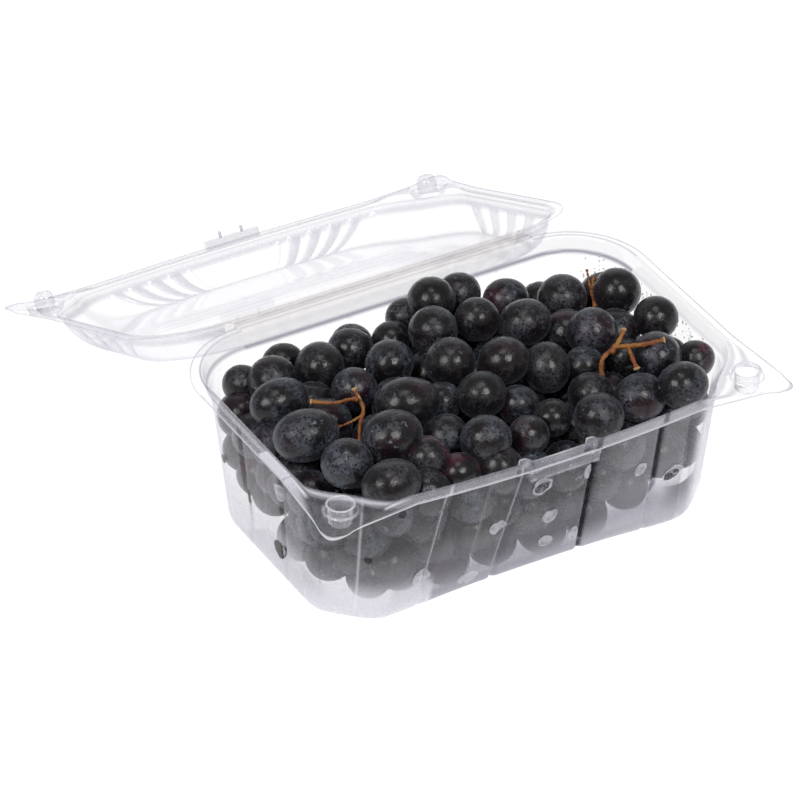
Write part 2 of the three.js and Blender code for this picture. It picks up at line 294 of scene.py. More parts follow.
class Nodes:
    """A short way to lay out a material's nodes."""

    def __init__(self, name: str) -> None:
        """Starts an empty material with its output."""
        self.material = bpy.data.materials.new(name)
        self.material.use_nodes = True
        self.tree = self.material.node_tree
        self.tree.nodes.clear()
        self.output = self.tree.nodes.new("ShaderNodeOutputMaterial")

    def feed(self, target: Socket, value: object) -> None:
        """Joins a socket to another one, or sets it to a colour or a number."""
        if isinstance(value, Socket):
            self.tree.links.new(value, target)
        else:
            target.default_value = (*value, 1.0) if isinstance(value, tuple) else value

    def add(self, kind: str, inputs: dict[str | int, object], **settings: str) -> bpy.types.Node:
        """Adds a node of a kind, sets its properties and feeds its inputs."""
        node = self.tree.nodes.new("ShaderNode" + kind)
        for key, value in settings.items():
            setattr(node, key, value)
        for key, value in inputs.items():
            self.feed(node.inputs[key], value)
        return node

    def coordinates(self) -> Socket:
        """The piece's own coordinates, in metres."""
        return self.add("TexCoord", {}).outputs["Object"]

    def attribute(self, name: str) -> Socket:
        """A number stored at each vertex."""
        return self.add("Attribute", {}, attribute_name=name).outputs["Fac"]

    def noise(self, scale: float, detail: float = 3.0, roughness: float = 0.55) -> Socket:
        """Smooth noise, with its scale in waves to a metre."""
        inputs = {"Scale": scale, "Detail": detail, "Roughness": roughness, "Vector": self.coordinates()}
        return self.add("TexNoise", inputs).outputs["Fac"]

    def cells(self, scale: float) -> Socket:
        """Distance to the nearest of many scattered points."""
        return self.add("TexVoronoi", {"Scale": scale, "Vector": self.coordinates()}).outputs["Distance"]

    def ramp(self, source: Socket, low: float, high: float, start: float = 0.0, end: float = 1.0) -> Socket:
        """Maps low..high of a value onto start..end, smoothly and clamped."""
        inputs = {"Value": source, "From Min": low, "From Max": high, "To Min": start, "To Max": end}
        return self.add("MapRange", inputs, interpolation_type="SMOOTHSTEP").outputs["Result"]

    def math(self, operation: str, first: object, second: object) -> Socket:
        """Joins two values, or a value and a number."""
        return self.add("Math", {0: first, 1: second}, operation=operation).outputs["Value"]

    def times(self, first: object, second: object) -> Socket:
        """The product of two values."""
        return self.math("MULTIPLY", first, second)

    def mix_colour(self, factor: Socket, first: object, second: object) -> Socket:
        """Mixes two colours, each a tuple or a socket."""
        return self.add("Mix", {"Factor": factor, 6: first, 7: second}, data_type="RGBA").outputs[2]

    def mix_surfaces(self, factor: Socket, first: Socket, second: Socket) -> Socket:
        """Mixes two surfaces."""
        return self.add("MixShader", {"Fac": factor, 1: first, 2: second}).outputs[0]

    def bump(self, height: Socket, strength: float, distance: float) -> Socket:
        """A surface relief, with its depth in metres."""
        inputs = {"Strength": strength, "Distance": distance, "Height": height}
        return self.add("Bump", inputs).outputs["Normal"]

    def surface(self, kind: str, inputs: dict[str, object]) -> Socket:
        """A surface of a kind."""
        return self.add("Bsdf" + kind, inputs).outputs[0]

    def finished(self, surface: Socket) -> Material:
        """The material, with its surface joined to the output."""
        self.feed(self.output.inputs["Surface"], surface)
        return self.material


@dataclass(frozen=True)
class ClearPlastic:
    """Thin clear film with a gloss, darker where it turns away, darkened by painted shade and milky, with
    painted highlight lines, where the piece says so.
    """

    name: str = "clear_plastic"
    face_on: Colour = (0.985, 0.985, 0.987)
    edge_on: Colour = (0.88, 0.875, 0.885)
    # Painted shade: the dark tint that stands for dark reflections and dark grapes seen through the film.
    painted_shade: Colour = (0.42, 0.41, 0.47)
    milk: Colour = (0.78, 0.765, 0.83)
    gloss: Colour = (0.94, 0.95, 1.0)
    cream: Colour = (0.990, 0.984, 0.976)
    milk_roughness: float = 0.5
    gloss_roughness: float = 0.07
    turned_from: float = 0.45
    least_mirror: float = 0.045
    added_mirror: float = 0.955
    mirror_power: float = 4.5
    least_haze: float = 0.006
    fine_scale: float = 900.0

    def build(self) -> Material:
        """Makes the material.

        Returns:
            A mix of see-through, mirror and milky shares. The mirror share is a small constant plus
            a steep power of how far the surface turns from the eye, scaled by the piece's own mirror
            share. The see-through share is darkened by the piece's painted shade, which stands for dark
            reflections and dark grapes seen through the film. The milky share follows the piece's own
            haze with its painted highlight lines, and a fine grain.
        """
        n = Nodes(self.name)
        facing = n.add("LayerWeight", {}).outputs["Facing"]
        tint = n.mix_colour(n.ramp(facing, self.turned_from, 1.0), self.face_on, self.edge_on)
        tint = n.mix_colour(n.attribute("plain"), tint, self.cream)
        # The see-through share is darkened by the piece's painted shade.
        clear = n.surface("Transparent", {"Color": n.mix_colour(n.attribute("painted_shade"), tint, self.painted_shade)})
        milk = n.surface("Principled", {"Base Color": self.milk, "Roughness": self.milk_roughness})
        gloss = n.surface("Glossy", {"Color": self.gloss, "Roughness": self.gloss_roughness})
        grain = n.ramp(n.noise(self.fine_scale, 2.0), 0.3, 0.75, 0.93, 1.07)
        # The milky share carries real haze and painted highlight lines.
        haze_and_highlight = n.math("MAXIMUM", n.times(n.attribute("haze_and_highlight"), grain), self.least_haze)
        turned = n.times(n.math("POWER", facing, self.mirror_power), self.added_mirror)
        share = n.times(n.math("ADD", turned, self.least_mirror), n.attribute("mirror"))
        return n.finished(n.mix_surfaces(share, n.mix_surfaces(haze_and_highlight, clear, milk), gloss))


@dataclass(frozen=True)
class FilmEdge:
    """The cut edge of the film, which gathers light and shows as a thin pale grey line."""

    name: str = "film_edge"
    colour: Colour = (0.50, 0.50, 0.52)
    second: Colour = (0.72, 0.72, 0.74)
    scale: float = 160.0
    roughness: float = 0.25
    cover: float = 0.55

    def build(self) -> Material:
        """Makes the material: a half-clear grey with fine variation along the edge."""
        n = Nodes(self.name)
        tint = n.mix_colour(n.ramp(n.noise(self.scale), 0.35, 0.65), self.colour, self.second)
        inputs = {"Base Color": tint, "Roughness": self.roughness, "Alpha": self.cover}
        return n.finished(n.surface("Principled", inputs))


@dataclass(frozen=True)
class MarkFinish:
    """A spot on the wall: wet and dark or milky where a grape touches it, or a small drop."""

    name: str
    colour: Colour
    second: Colour
    cover: float
    roughness: float
    patch_scale: float = 420.0
    edge_scale: float = 300.0
    specular: float = 0.2

    def build(self) -> Material:
        """Makes the material.

        Returns:
            One colour with a second in small patches. Its cover fades at a ragged edge.
        """
        n = Nodes(self.name)
        ragged = n.ramp(n.noise(self.edge_scale, 2.0), 0.3, 0.7, -0.07, 0.07)
        tint = n.mix_colour(n.ramp(n.noise(self.patch_scale), 0.45, 0.65), self.colour, self.second)
        return n.finished(n.surface("Principled", {
            "Base Color": tint,
            "Roughness": self.roughness,
            "Specular IOR Level": self.specular,
            "Alpha": n.ramp(n.math("ADD", n.attribute("out"), ragged), 0.97, 0.84, 0.0, self.cover),
        }))


@dataclass(frozen=True)
class GrapeSkin:
    """Near-black skin under a blue-grey waxy bloom with bare specks, redder on some grapes."""

    name: str = "grape_skin"
    dark: Colour = (0.0046, 0.0033, 0.0040)
    red: Colour = (0.056, 0.0022, 0.017)
    bloom: Colour = (0.088, 0.102, 0.132)
    brown_bloom: Colour = (0.104, 0.097, 0.106)
    pale_bloom: Colour = (0.26, 0.29, 0.36)
    scar: Colour = (0.03, 0.020, 0.014)
    sheen: Colour = (0.75, 0.82, 1.0)
    patch_scale: float = 125.0
    wax_scale: float = 620.0
    speck_scale: float = 760.0
    blotch_scale: float = 75.0
    streak_scale: float = 260.0
    relief_scale: float = 300.0
    relief_depth: float = 0.00025

    def build(self) -> Material:
        """Makes the material.

        Returns:
            Skin colour by each grape's redness, covered by bloom in soft patches. Small round
            specks are bare of bloom, and both ends of a grape have a small dry scar.
        """
        n = Nodes(self.name)
        bloom, end, red = n.attribute("bloom"), n.attribute("end"), n.attribute("redness")
        patches = n.ramp(n.noise(self.patch_scale, 4.0, 0.62), 0.42, 0.64)
        fine = n.ramp(n.noise(self.wax_scale, 3.0, 0.6), 0.36, 0.62, 0.35, 1.0)
        specks = n.ramp(n.cells(self.speck_scale), 0.28, 0.40)
        amount = n.ramp(bloom, 0.0, 1.0, 0.25, 1.0)
        cover = n.times(n.times(patches, fine), n.times(specks, amount))

        blotches = n.ramp(n.noise(self.blotch_scale, 2.0), 0.50, 0.64)
        stalk_end = n.times(n.ramp(end, 0.36, 0.22), n.ramp(red, 0.92, 1.0))
        skin = n.mix_colour(n.times(red, n.math("MAXIMUM", blotches, stalk_end)), self.dark, self.red)
        wax = n.mix_colour(n.ramp(bloom, 0.25, 0.85), self.brown_bloom, self.bloom)
        waxy = n.mix_colour(n.times(cover, 0.66), skin, wax)
        streaks = n.ramp(n.noise(self.streak_scale, 5.0, 0.72), 0.60, 0.70, 0.0, 0.62)
        waxy = n.mix_colour(n.times(streaks, amount), waxy, self.pale_bloom)
        scar = n.math("ADD", n.ramp(end, 0.035, 0.022), n.ramp(end, 0.972, 0.982))
        relief = n.math("ADD", n.times(cover, 0.6), n.ramp(n.noise(self.relief_scale), 0.3, 0.7))
        return n.finished(n.surface("Principled", {
            "Base Color": n.mix_colour(scar, waxy, self.scar),
            "Roughness": n.ramp(cover, 0.0, 0.9, 0.23, 0.56),
            "Specular IOR Level": 0.4,
            "Sheen Weight": 0.12,
            "Sheen Roughness": 0.45,
            "Sheen Tint": self.sheen,
            "Normal": n.bump(relief, 0.35, self.relief_depth),
        }))


@dataclass(frozen=True)
class StalkBark:
    """Dry orange-brown stalk, greener in its middle and pale where it was torn."""

    name: str = "stalk_bark"
    brown: Colour = (0.20, 0.052, 0.012)
    olive: Colour = (0.30, 0.135, 0.022)
    pale: Colour = (0.62, 0.44, 0.24)
    patch_scale: float = 260.0
    grain_scale: float = 1500.0
    grain_depth: float = 0.0003
    roughness: float = 0.55

    def build(self) -> Material:
        """Makes the material: brown and olive patches with a fine grain, and pale torn tips."""
        n = Nodes(self.name)
        bark = n.mix_colour(n.ramp(n.noise(self.patch_scale, 4.0), 0.4, 0.65), self.brown, self.olive)
        return n.finished(n.surface("Principled", {
            "Base Color": n.mix_colour(n.attribute("torn"), bark, self.pale),
            "Roughness": self.roughness,
            "Normal": n.bump(n.noise(self.grain_scale, 4.0, 0.7), 0.6, self.grain_depth),
        }))


@dataclass(frozen=True)
class ShadeCore:
    """The shade between the inner grapes."""

    name: str = "painted_shade_core"
    # Painted shade: near black, for the gaps between the inner grapes.
    colour: Colour = (0.004, 0.003, 0.005)
    second: Colour = (0.012, 0.010, 0.014)
    scale: float = 90.0
    roughness: float = 0.9

    def build(self) -> Material:
        """Makes the material: near black, a little lighter in patches."""
        n = Nodes(self.name)
        tint = n.mix_colour(n.ramp(n.noise(self.scale), 0.4, 0.7), self.colour, self.second)
        return n.finished(n.surface("Principled", {"Base Color": tint, "Roughness": self.roughness}))


@dataclass(frozen=True)
class PaleFloor:
    """A plain white studio floor, lit a little from below."""

    name: str = "pale_floor"
    colour: Colour = (0.25, 0.25, 0.25)
    glow_colour: Colour = (1.0, 1.0, 1.0)
    glow: float = 0.93
    roughness: float = 0.9

    def build(self) -> Material:
        """Makes the material: matt white with an even glow."""
        n = Nodes(self.name)
        return n.finished(n.surface("Principled", {
            "Base Color": self.colour,
            "Roughness": self.roughness,
            "Emission Color": self.glow_colour,
            "Emission Strength": self.glow,
        }))


# The punnet's plan, shared by tray and lid


@dataclass(frozen=True)
class Level:
    """The plan's sizes on a stack of levels, each a column with one row to a level."""

    half_x: Array
    half_y: Array
    front: Array
    back: Array
    dent: Array

    def grown(self, by: Array) -> "Level":
        """The same levels with their sides and corners moved outwards."""
        return Level(self.half_x + by, self.half_y + by, self.front + by, self.back + by, self.dent)


@dataclass(frozen=True)
class Perimeter:
    """Stations round the plan: four sides and four corners, anticlockwise from the front left."""

    long_steps: int = 160
    short_steps: int = 84
    corner_steps: int = 42
    bow: float = 3.0
    ear_power: float = 0.14
    ear_start: float = 0.3

    def stations(self) -> tuple[Array, Array]:
        """Which of the eight stretches each station is on, and how far along it lies."""
        counts = [self.long_steps, self.corner_steps, self.short_steps, self.corner_steps] * 2
        return np.repeat(np.arange(8), counts), np.concatenate([np.arange(c) / c for c in counts])

    def on(self, *stretches: Stretch) -> Array:
        """Whether each station is on one of some stretches."""
        return np.isin(self.stations()[0], stretches)

    def along(self) -> Array:
        """How far along its stretch each station lies, from 0 to 1."""
        return self.stations()[1]

    def from_ends(self) -> Array:
        """How far each station lies from the nearer end of its stretch, from 0 to a half."""
        t = self.along()
        return np.minimum(t, 1 - t)

    def points(self, level: Level, ear_x: float, ear_y: float, square: float | Array) -> tuple[Array, Array]:
        """The plan's X and Y at each level and station.

        The sides are straight, the front bows out as a parabola, the back corners are arcs, and
        the front corners are arcs with a bell-shaped dent. Where square is 1 a front corner is
        drawn out instead into an ear, as a superellipse of high power that grows towards its tip.

        Args:
            level: the sizes on each level.
            ear_x: how far an ear reaches past the sides.
            ear_y: how far an ear reaches past the front.
            square: from 0, a dented arc, to 1, an ear.

        Returns:
            X and Y, one row to a level and one column to a station.
        """
        stretch, t = self.stations()
        front_x = level.half_x - level.front
        back_x = level.half_x - level.back
        front_y = level.front - level.half_y
        back_y = level.half_y - level.back
        quarter = math.pi / 2

        run = blend(-1.0, 1.0, t)
        front_side = (front_x * run, -level.half_y - self.bow * (1 - run**2) + 0 * front_x)
        right_side = (level.half_x + 0 * t, blend(front_y, back_y, t))
        back_side = (-back_x * run, level.half_y + 0 * t)
        left_side = (-level.half_x + 0 * t, blend(back_y, front_y, t))
        back_right = (back_x + level.back * np.cos(quarter * t), back_y + level.back * np.sin(quarter * t))
        back_left = (-back_x - level.back * np.sin(quarter * t), back_y + level.back * np.cos(quarter * t))

        def grown(reach: Array) -> Array:
            """How much of the ear's own reach a point has."""
            return np.clip((reach - self.ear_start) / (1 - self.ear_start), 0, 1)

        def front_corner(part: Array) -> tuple[Array, Array]:
            """A front corner, with part running from the front to the side."""
            across = np.sin(quarter * part)
            down = np.cos(quarter * part)
            radius = level.front - level.dent * np.sin(math.pi * part) ** 2
            round_x = front_x + radius * across
            round_y = front_y - radius * down
            reach_x, reach_y = across**self.ear_power, down**self.ear_power
            out = grown(reach_x) * grown(reach_y)
            ear_corner_x = front_x + level.front * reach_x + ear_x * out
            ear_corner_y = front_y - level.front * reach_y - ear_y * out
            return blend(round_x, ear_corner_x, square), blend(round_y, ear_corner_y, square)

        right_corner = front_corner(t)
        mirrored = front_corner(1 - t)
        left_corner = (-mirrored[0], mirrored[1])
        plans = (
            front_side, right_corner, right_side, back_right, back_side, back_left, left_side, left_corner,
        )
        places = [stretch == k for k in Stretch]
        return np.select(places, [plan[0] for plan in plans]), np.select(places, [plan[1] for plan in plans])

    def push_in(self, x: Array, y: Array, depth: Array) -> tuple[Array, Array]:
        """Moves the points of the four sides inwards by depth, leaving the corners."""
        side_x = np.select([self.on(RIGHT), self.on(LEFT)], [-1.0, 1.0], 0.0)
        side_y = np.select([self.on(FRONT), self.on(BACK)], [1.0, -1.0], 0.0)
        return x + side_x * depth, y + side_y * depth

    def grooves(self, places: tuple[Array, ...], width: float, short_places: tuple[float, ...]) -> Array:
        """Narrow upright grooves: 1 at the middle of a groove and 0 away from it.

        Args:
            places: the grooves' places along the long sides, from 0 to 1, as columns of levels.
            width: half the width of a groove, as a share of a long side.
            short_places: their places along the short sides.

        Returns:
            One number for each level and station.
        """
        t = self.along()
        on_long = sum(bell(t, place, width, 4) for place in places)
        on_short = sum(bell(t, place, 1.9 * width, 4) for place in short_places)
        return np.select([self.on(FRONT, BACK), self.on(RIGHT, LEFT)], [on_long, on_short], 0.0)


@dataclass(frozen=True)
class PunnetSizes:
    """Sizes that the tray and the lid share."""

    depth: float = 64.0
    wall: float = 0.34
    flange: float = 4.6
    mouth: Pair = (88.9, 59.3)
    base: Pair = (81.7, 45.7)
    corner_front: Pair = (22.0, 30.0)
    corner_back: Pair = (18.0, 27.0)
    dent: Pair = (2.5, 5.0)
    ear: Pair = (4.0, 4.9)
    ear_drop: float = 1.1
    button: Pair = (84.0, -53.6)
    leaf: float = 2.6
    leaf_half: float = 65.0
    lid_gap: float = 0.4
    lid_height: float = 13.4

    def level(self, share: Array) -> Level:
        """The tray's plan, from 0 at the base to 1 at the mouth."""
        return Level(
            blend(self.base[0], self.mouth[0], share),
            blend(self.base[1], self.mouth[1], share),
            blend(*self.corner_front, share),
            blend(*self.corner_back, share),
            blend(*self.dent, share),
        )

    def front_flange(self, perimeter: Perimeter) -> float:
        """Y of the middle of the front flange."""
        return -self.mouth[1] - perimeter.bow - self.flange / 2


@dataclass(frozen=True)
class FlangeForm:
    """The relief of a flange. The lid's is lower than the tray's, so that they close with a gap."""

    bead_width: float
    lip: float
    ridge: float
    bead_height: float = 0.5
    bead_place: float = 0.15
    lip_start: float = 0.88


TRAY_FLANGE = FlangeForm(bead_width=0.08, lip=1.0, ridge=0.34)
LID_FLANGE = FlangeForm(bead_width=0.11, lip=0.25, ridge=0.25)
FLANGE_ROWS = 27
LEAF_RIDGES = 3


def flange_rows(
    sizes: PunnetSizes, perimeter: Perimeter, shares: Array, rim: float, form: FlangeForm,
) -> Array:
    """The flange, with its ears and its hinge leaf.

    Its height is level but for a bead near the inner edge, a lip turned down at the outer edge, fine
    ridges along the hinge and a small drop towards each ear.

    Args:
        sizes: the punnet's sizes.
        perimeter: the stations round the plan.
        shares: each row's place across the flange, from 0 inside to 1 outside, as a column.
        rim: the height of the flange.
        form: the relief of the flange.

    Returns:
        Points in rows and stations.
    """
    level = sizes.level(np.ones_like(shares)).grown(sizes.flange * shares)
    x, y = perimeter.points(level, sizes.ear[0], sizes.ear[1], shares**0.7)
    leaf = 1 - ease(np.abs(x), sizes.leaf_half, sizes.leaf_half + 2.5)
    leaf_reach = sizes.leaf * leaf * perimeter.on(BACK)
    on_leaf = ease(leaf_reach, 0.5, 2.0)
    on_ear = ease(perimeter.from_ends() * perimeter.on(*FRONT_CORNERS), 0.0, 0.1)
    bead = form.bead_height * bell(shares, form.bead_place, form.bead_width)
    bead = bead * (1 - 0.55 * on_ear) * (1 - on_leaf)
    lip = -form.lip * ease(shares, form.lip_start, 1.0) * (1 - 0.45 * on_ear)
    ridges = form.ridge * np.cos(shares * TURN * LEAF_RIDGES) * on_leaf * ease(shares, 0.05, 0.2)
    z = rim + bead + lip + ridges + ear_drop(sizes, perimeter)
    return np.stack([x, y + leaf_reach * shares, z], -1)


def ear_drop(sizes: PunnetSizes, perimeter: Perimeter) -> Array:
    """The small drop towards each ear, at each station."""
    return -sizes.ear_drop * ease(perimeter.from_ends() * perimeter.on(*FRONT_CORNERS), 0.02, 0.14)


def weld_turned(points: Array, faces: Array, centre: Pair, radius: float, zone: Array,
                profile: Array, upwards: bool) -> tuple[Array, Array, Array]:
    """Cuts a round hole in a sheet and fills it with a turned shape that shares the hole's vertices.

    The faces whose middle lies inside the circle go. The edge that is left is drawn onto the circle,
    and its angles are those of every ring of the turned shape, which ends in a pole.

    Args:
        points: the sheet's vertices, one to a row.
        faces: the sheet's quads.
        centre: the hole's centre in plan.
        radius: the hole's radius.
        zone: which vertices may be cut.
        profile: rows of radius and height, from the hole inwards.
        upwards: whether the sheet's faces point up at the hole.

    Returns:
        All points, all quads, and the triangles at the pole.
    """
    middle = np.array(centre)
    away = points[:, :2] - middle
    distance = np.linalg.norm(away, axis=1)
    inside = (distance[faces].mean(1) < radius) & zone[faces].all(1)
    lost = np.bincount(faces[inside].ravel(), minlength=len(points)) > 0
    kept = np.bincount(faces[~inside].ravel(), minlength=len(points)) > 0
    edge = np.flatnonzero(lost & kept)
    angle = np.arctan2(away[edge, 1], away[edge, 0])
    edge, angle = edge[np.argsort(angle)], np.sort(angle)
    moved = points.copy()
    round_edge = np.stack([np.cos(angle), np.sin(angle)], 1)
    moved[edge, :2] = middle + radius * round_edge

    columns = len(edge)
    ring = middle + profile[:, :1, None] * round_edge[None]
    turned = np.concatenate([ring, np.broadcast_to(profile[:, 1:, None], ring.shape[:2] + (1,))], 2)
    first = len(moved)
    pole = first + turned.shape[0] * columns
    numbers = np.concatenate([edge, np.arange(first, pole)])
    quads = numbers[grid_faces(len(profile) + 1, columns, True)]
    fan = fan_faces(np.arange(pole - columns, pole), pole)
    if not upwards:
        quads, fan = quads[:, ::-1], fan[:, ::-1]
    tip = np.array([[middle[0], middle[1], profile[-1, 1]]])
    every = np.vstack([moved, turned.reshape(-1, 3), tip])
    return every, np.vstack([faces[~inside], quads]), fan


def stacked_profile(*parts: tuple[list[Pair], float]) -> Array:
    """A profile of radii and heights, in parts that each give heights above their own level."""
    return np.vstack([np.array(part) + [0.0, level] for part, level in parts])


def weld_buttons(
    points: Array, faces: list[Array], sizes: PunnetSizes, radius: float, rows: range, profile: Array,
    upwards: bool,
) -> tuple[Array, list[Array]]:
    """Welds the same turned shape into the sheet at both ears.

    Args:
        points: the sheet's vertices, one to a row.
        faces: the sheet's quads and its triangles.
        sizes: the punnet's sizes.
        radius: the radius of the holes.
        rows: the numbers of the flange's vertices, which may be cut.
        profile: rows of radius and height, from the hole inwards.
        upwards: whether the sheet's faces point up at the ears.

    Returns:
        All points, and all quads and triangles.
    """
    quads, fans = faces[0], faces[1:]
    for side in (-1, 1):
        number = np.arange(len(points))
        zone = (number >= rows.start) & (number < rows.stop)
        centre = (side * sizes.button[0], sizes.button[1])
        points, quads, fan = weld_turned(points, quads, centre, radius, zone, profile, upwards)
        fans.append(fan)
    return points, [quads, np.vstack(fans)]


# Tray


@dataclass(frozen=True)
class Wall:
    """The tray's wall as two plans, one low and one high, joined by straight lines."""

    low: Array
    high: Array
    low_z: float
    high_z: float

    def plan(self, z: Array) -> Array:
        """The wall's plan at each height, with one row of stations to a height."""
        part = ((np.asarray(z) - self.low_z) / (self.high_z - self.low_z))[..., None, None]
        return self.low + (self.high - self.low) * part

    def inward(self) -> Array:
        """A level direction into the tray at each station: the plan's tangent, turned to the left."""
        ahead = np.roll(self.high, -2, axis=0) - np.roll(self.high, 2, axis=0)
        return unit(np.stack([-ahead[:, 1], ahead[:, 0]], 1))

    def lean(self) -> Array:
        """The wall's inward direction at each station, tipped up by as much as the wall leans out."""
        level = self.inward()
        out = -((self.high - self.low) * level).sum(1) / (self.high_z - self.low_z)
        return unit(np.concatenate([level, out[:, None]], 1))

    def nearest(self, points: Array) -> tuple[Array, Array, Array]:
        """Finds the wall's nearest station at each point's own height.

        Args:
            points: points, one to a row.

        Returns:
            The stations, the wall's directions there, and the distances inwards from the wall.
        """
        plan = self.plan(points[:, 2])
        offset = points[:, None, :2] - plan
        station = (offset**2).sum(2).argmin(1)
        normal = self.lean()[station]
        away = offset[np.arange(len(points)), station]
        return station, normal, (away * normal[:, :2]).sum(1)

    def at(self, station: Array, z: Array) -> Array:
        """Points of the wall at fractional stations and at heights."""
        whole = np.floor(station).astype(int)
        part = (station - whole)[..., None]
        rise = ((z - self.low_z) / (self.high_z - self.low_z))[..., None]
        count = len(self.low)

        def on(plan: Array) -> Array:
            """A plan between two stations."""
            return plan[whole % count] * (1 - part) + plan[(whole + 1) % count] * part

        return np.concatenate([on(self.low) * (1 - rise) + on(self.high) * rise, z[..., None]], -1)


# Thin upright lines in the tray's wall, by stretch: each one's place along it and its strength.
Lines = dict[Stretch, tuple[Pair, ...]]
# Painted highlights: milky lines beside some grooves and corners, where they catch light.
HIGHLIGHT_LINES: Lines = {
    FRONT: ((0.113, 0.42), (0.262, 0.06), (0.363, 0.40)),
    FRONT_RIGHT: ((0.08, 0.35), (0.4, 0.35), (0.75, 0.25)),
    LEFT: ((0.265, 0.30), (0.52, 0.18), (0.765, 0.34)),
    FRONT_LEFT: ((0.20, 0.30), (0.62, 0.22), (0.92, 0.30)),
}
# Painted shade: dark lines beside some grooves and corners.
SHADE_LINES: Lines = {
    FRONT: ((0.118, 0.45), (0.368, 0.45)),
    FRONT_RIGHT: ((0.10, 0.45), (0.42, 0.45)),
    LEFT: ((0.27, 0.45), (0.77, 0.45)),
    FRONT_LEFT: ((0.22, 0.45), (0.94, 0.45)),
}


@dataclass
class Tray:
    """The clear tray: grooved walls, a filleted base, an upright band, ears with cups, a latch pocket."""

    sizes: PunnetSizes
    perimeter: Perimeter
    film: Material
    edge: Material
    fillet: float = 7.0
    band: float = 5.0
    step: float = 1.6
    step_gap: float = 0.2
    groove_depth: float = 1.3
    groove_half: float = 0.011
    groove_places: tuple[float, ...] = (0.125, 0.375, 0.650, 0.893)
    groove_leans: tuple[float, ...] = (0.055, 0.075, 0.0, 0.0)
    side_groove_places: tuple[float, ...] = (0.25, 0.75)
    highlight_line_half: float = 0.0042
    shade_line_half: float = 0.006
    pocket_half: float = 14.4
    pocket_depth: float = 5.9
    pocket_side: float = 0.7
    pocket_across: Pair = (1.45, 1.85)
    lug_depth: float = 2.8
    lug_half: float = 2.3
    foot_rise: float = 1.3
    arch_height: float = 6.6
    arch_slope: float = 0.6
    base_shares: tuple[float, ...] = (0.12, 0.3, 0.5, 0.68, 0.8, 0.86, 0.92)
    cup_radius: float = 6.9
    cup_lip: float = 66.0
    cup_floor: float = 58.1

    def wall_rows(self) -> Array:
        """The shell from the base's fillet up to the mouth.

        The fillet is a quarter circle, the wall is straight, a short ledge steps out and the band
        runs straight up. Grooves fade in above the fillet and out at the ledge. The front's foot is
        straightened and arched.

        Returns:
            The points in rows and stations.
        """
        depth = self.sizes.depth
        turn = np.linspace(0, math.pi / 2, 9)
        ledge_z = self.ledge()
        wall_z = np.linspace(self.fillet, ledge_z, 22)[1:]
        step_part = np.linspace(0, 1, 6)[1:]
        z = np.concatenate([
            self.fillet * (1 - np.cos(turn)), wall_z, ledge_z + self.step * step_part,
            np.linspace(depth - self.band, depth, 8)[1:],
        ])[:, None]
        inset = np.concatenate([
            self.fillet * (1 - np.sin(turn)), self.wall_inset(wall_z),
            self.step * (1 - ease(step_part, 0.0, 1.0)) + self.step_gap, np.linspace(self.step_gap, 0.0, 7),
        ])[:, None]
        x, y = self.perimeter.points(self.sizes.level(z / depth).grown(-inset), 0.0, 0.0, 0.0)
        fade = window(z, (0.0, 3.0), (ledge_z - 2.0, ledge_z + self.step))
        x, y = self.perimeter.push_in(x, y, self.groove_depth * self.grooves(z) * fade)
        y = self.straighten(self.push_lugs(x, y, ease(z, ledge_z - 1.0, depth - self.band)), z)
        drop = ear_drop(self.sizes, self.perimeter) * ease(z, depth - self.band, depth)
        return np.stack([x, y, self.arch(z, inset) + drop + 0 * x], -1)

    def ledge(self) -> float:
        """The height where the straight wall ends and the ledge out to the band starts."""
        return self.sizes.depth - self.band - self.step

    def wall_inset(self, z: Array) -> Array:
        """How far the wall has drawn in below the ledge."""
        return self.step * (z - self.fillet) / (self.ledge() - self.fillet)

    def lean(self, z: Array, number: int) -> Array:
        """How far a groove has moved along its side at a height."""
        return self.groove_leans[number] * (z / self.sizes.depth - 0.5)

    def grooves(self, z: Array) -> Array:
        """The upright grooves, at their places along the sides at each height."""
        places = tuple(place + self.lean(z, k) for k, place in enumerate(self.groove_places))
        return self.perimeter.grooves(places, self.groove_half, self.side_groove_places)

    def wall(self) -> Wall:
        """The straight part of the wall, for what lies inside it."""
        z = np.array([self.fillet, self.ledge()])
        level = self.sizes.level(z[:, None] / self.sizes.depth).grown(-self.wall_inset(z)[:, None])
        x, y = self.perimeter.points(level, 0.0, 0.0, 0.0)
        x, y = self.perimeter.push_in(x, y, self.groove_depth * self.grooves(z[:, None]))
        plans = np.stack([x, self.straighten(y, z[:, None])], -1)
        return Wall(plans[0], plans[1], z[0], z[1])

    def lugs(self, x: Array) -> Array:
        """Where the two small round lugs are, at the ends of the latch pocket."""
        places = (side * (self.pocket_half - 0.6) for side in (-1, 1))
        return sum(bell(x, place, self.lug_half, 4) for place in places) * self.perimeter.on(FRONT)

    def push_lugs(self, x: Array, y: Array, strength: Array) -> Array:
        """Y with the band pushed inwards at the lugs."""
        return y + self.lug_depth * self.lugs(x) * strength

    def straighten(self, y: Array, z: Array) -> Array:
        """Y with the front's bow taken out towards the base, where the edge runs straight."""
        stretch, t = self.perimeter.stations()
        share = 1 - np.clip(z / self.ledge(), 0, 1)
        return y + self.perimeter.bow * (1 - (2 * t - 1) ** 2) * share * (stretch == FRONT)

    def arch(self, z: Array, inset: Array) -> Array:
        """Heights with the foot raised between the corners, along the front.

        The raised edge is a slope that climbs outwards from the base. The height is a soft maximum
        of the plain one and the slope, by as much as a hump along the side.
        """
        hump = np.sin(math.pi * self.perimeter.along()) ** 1.5 * self.perimeter.on(FRONT)
        short = self.arch_height - self.arch_slope * inset - z
        return z + hump * (short + np.sqrt(short**2 + 0.6)) / 2

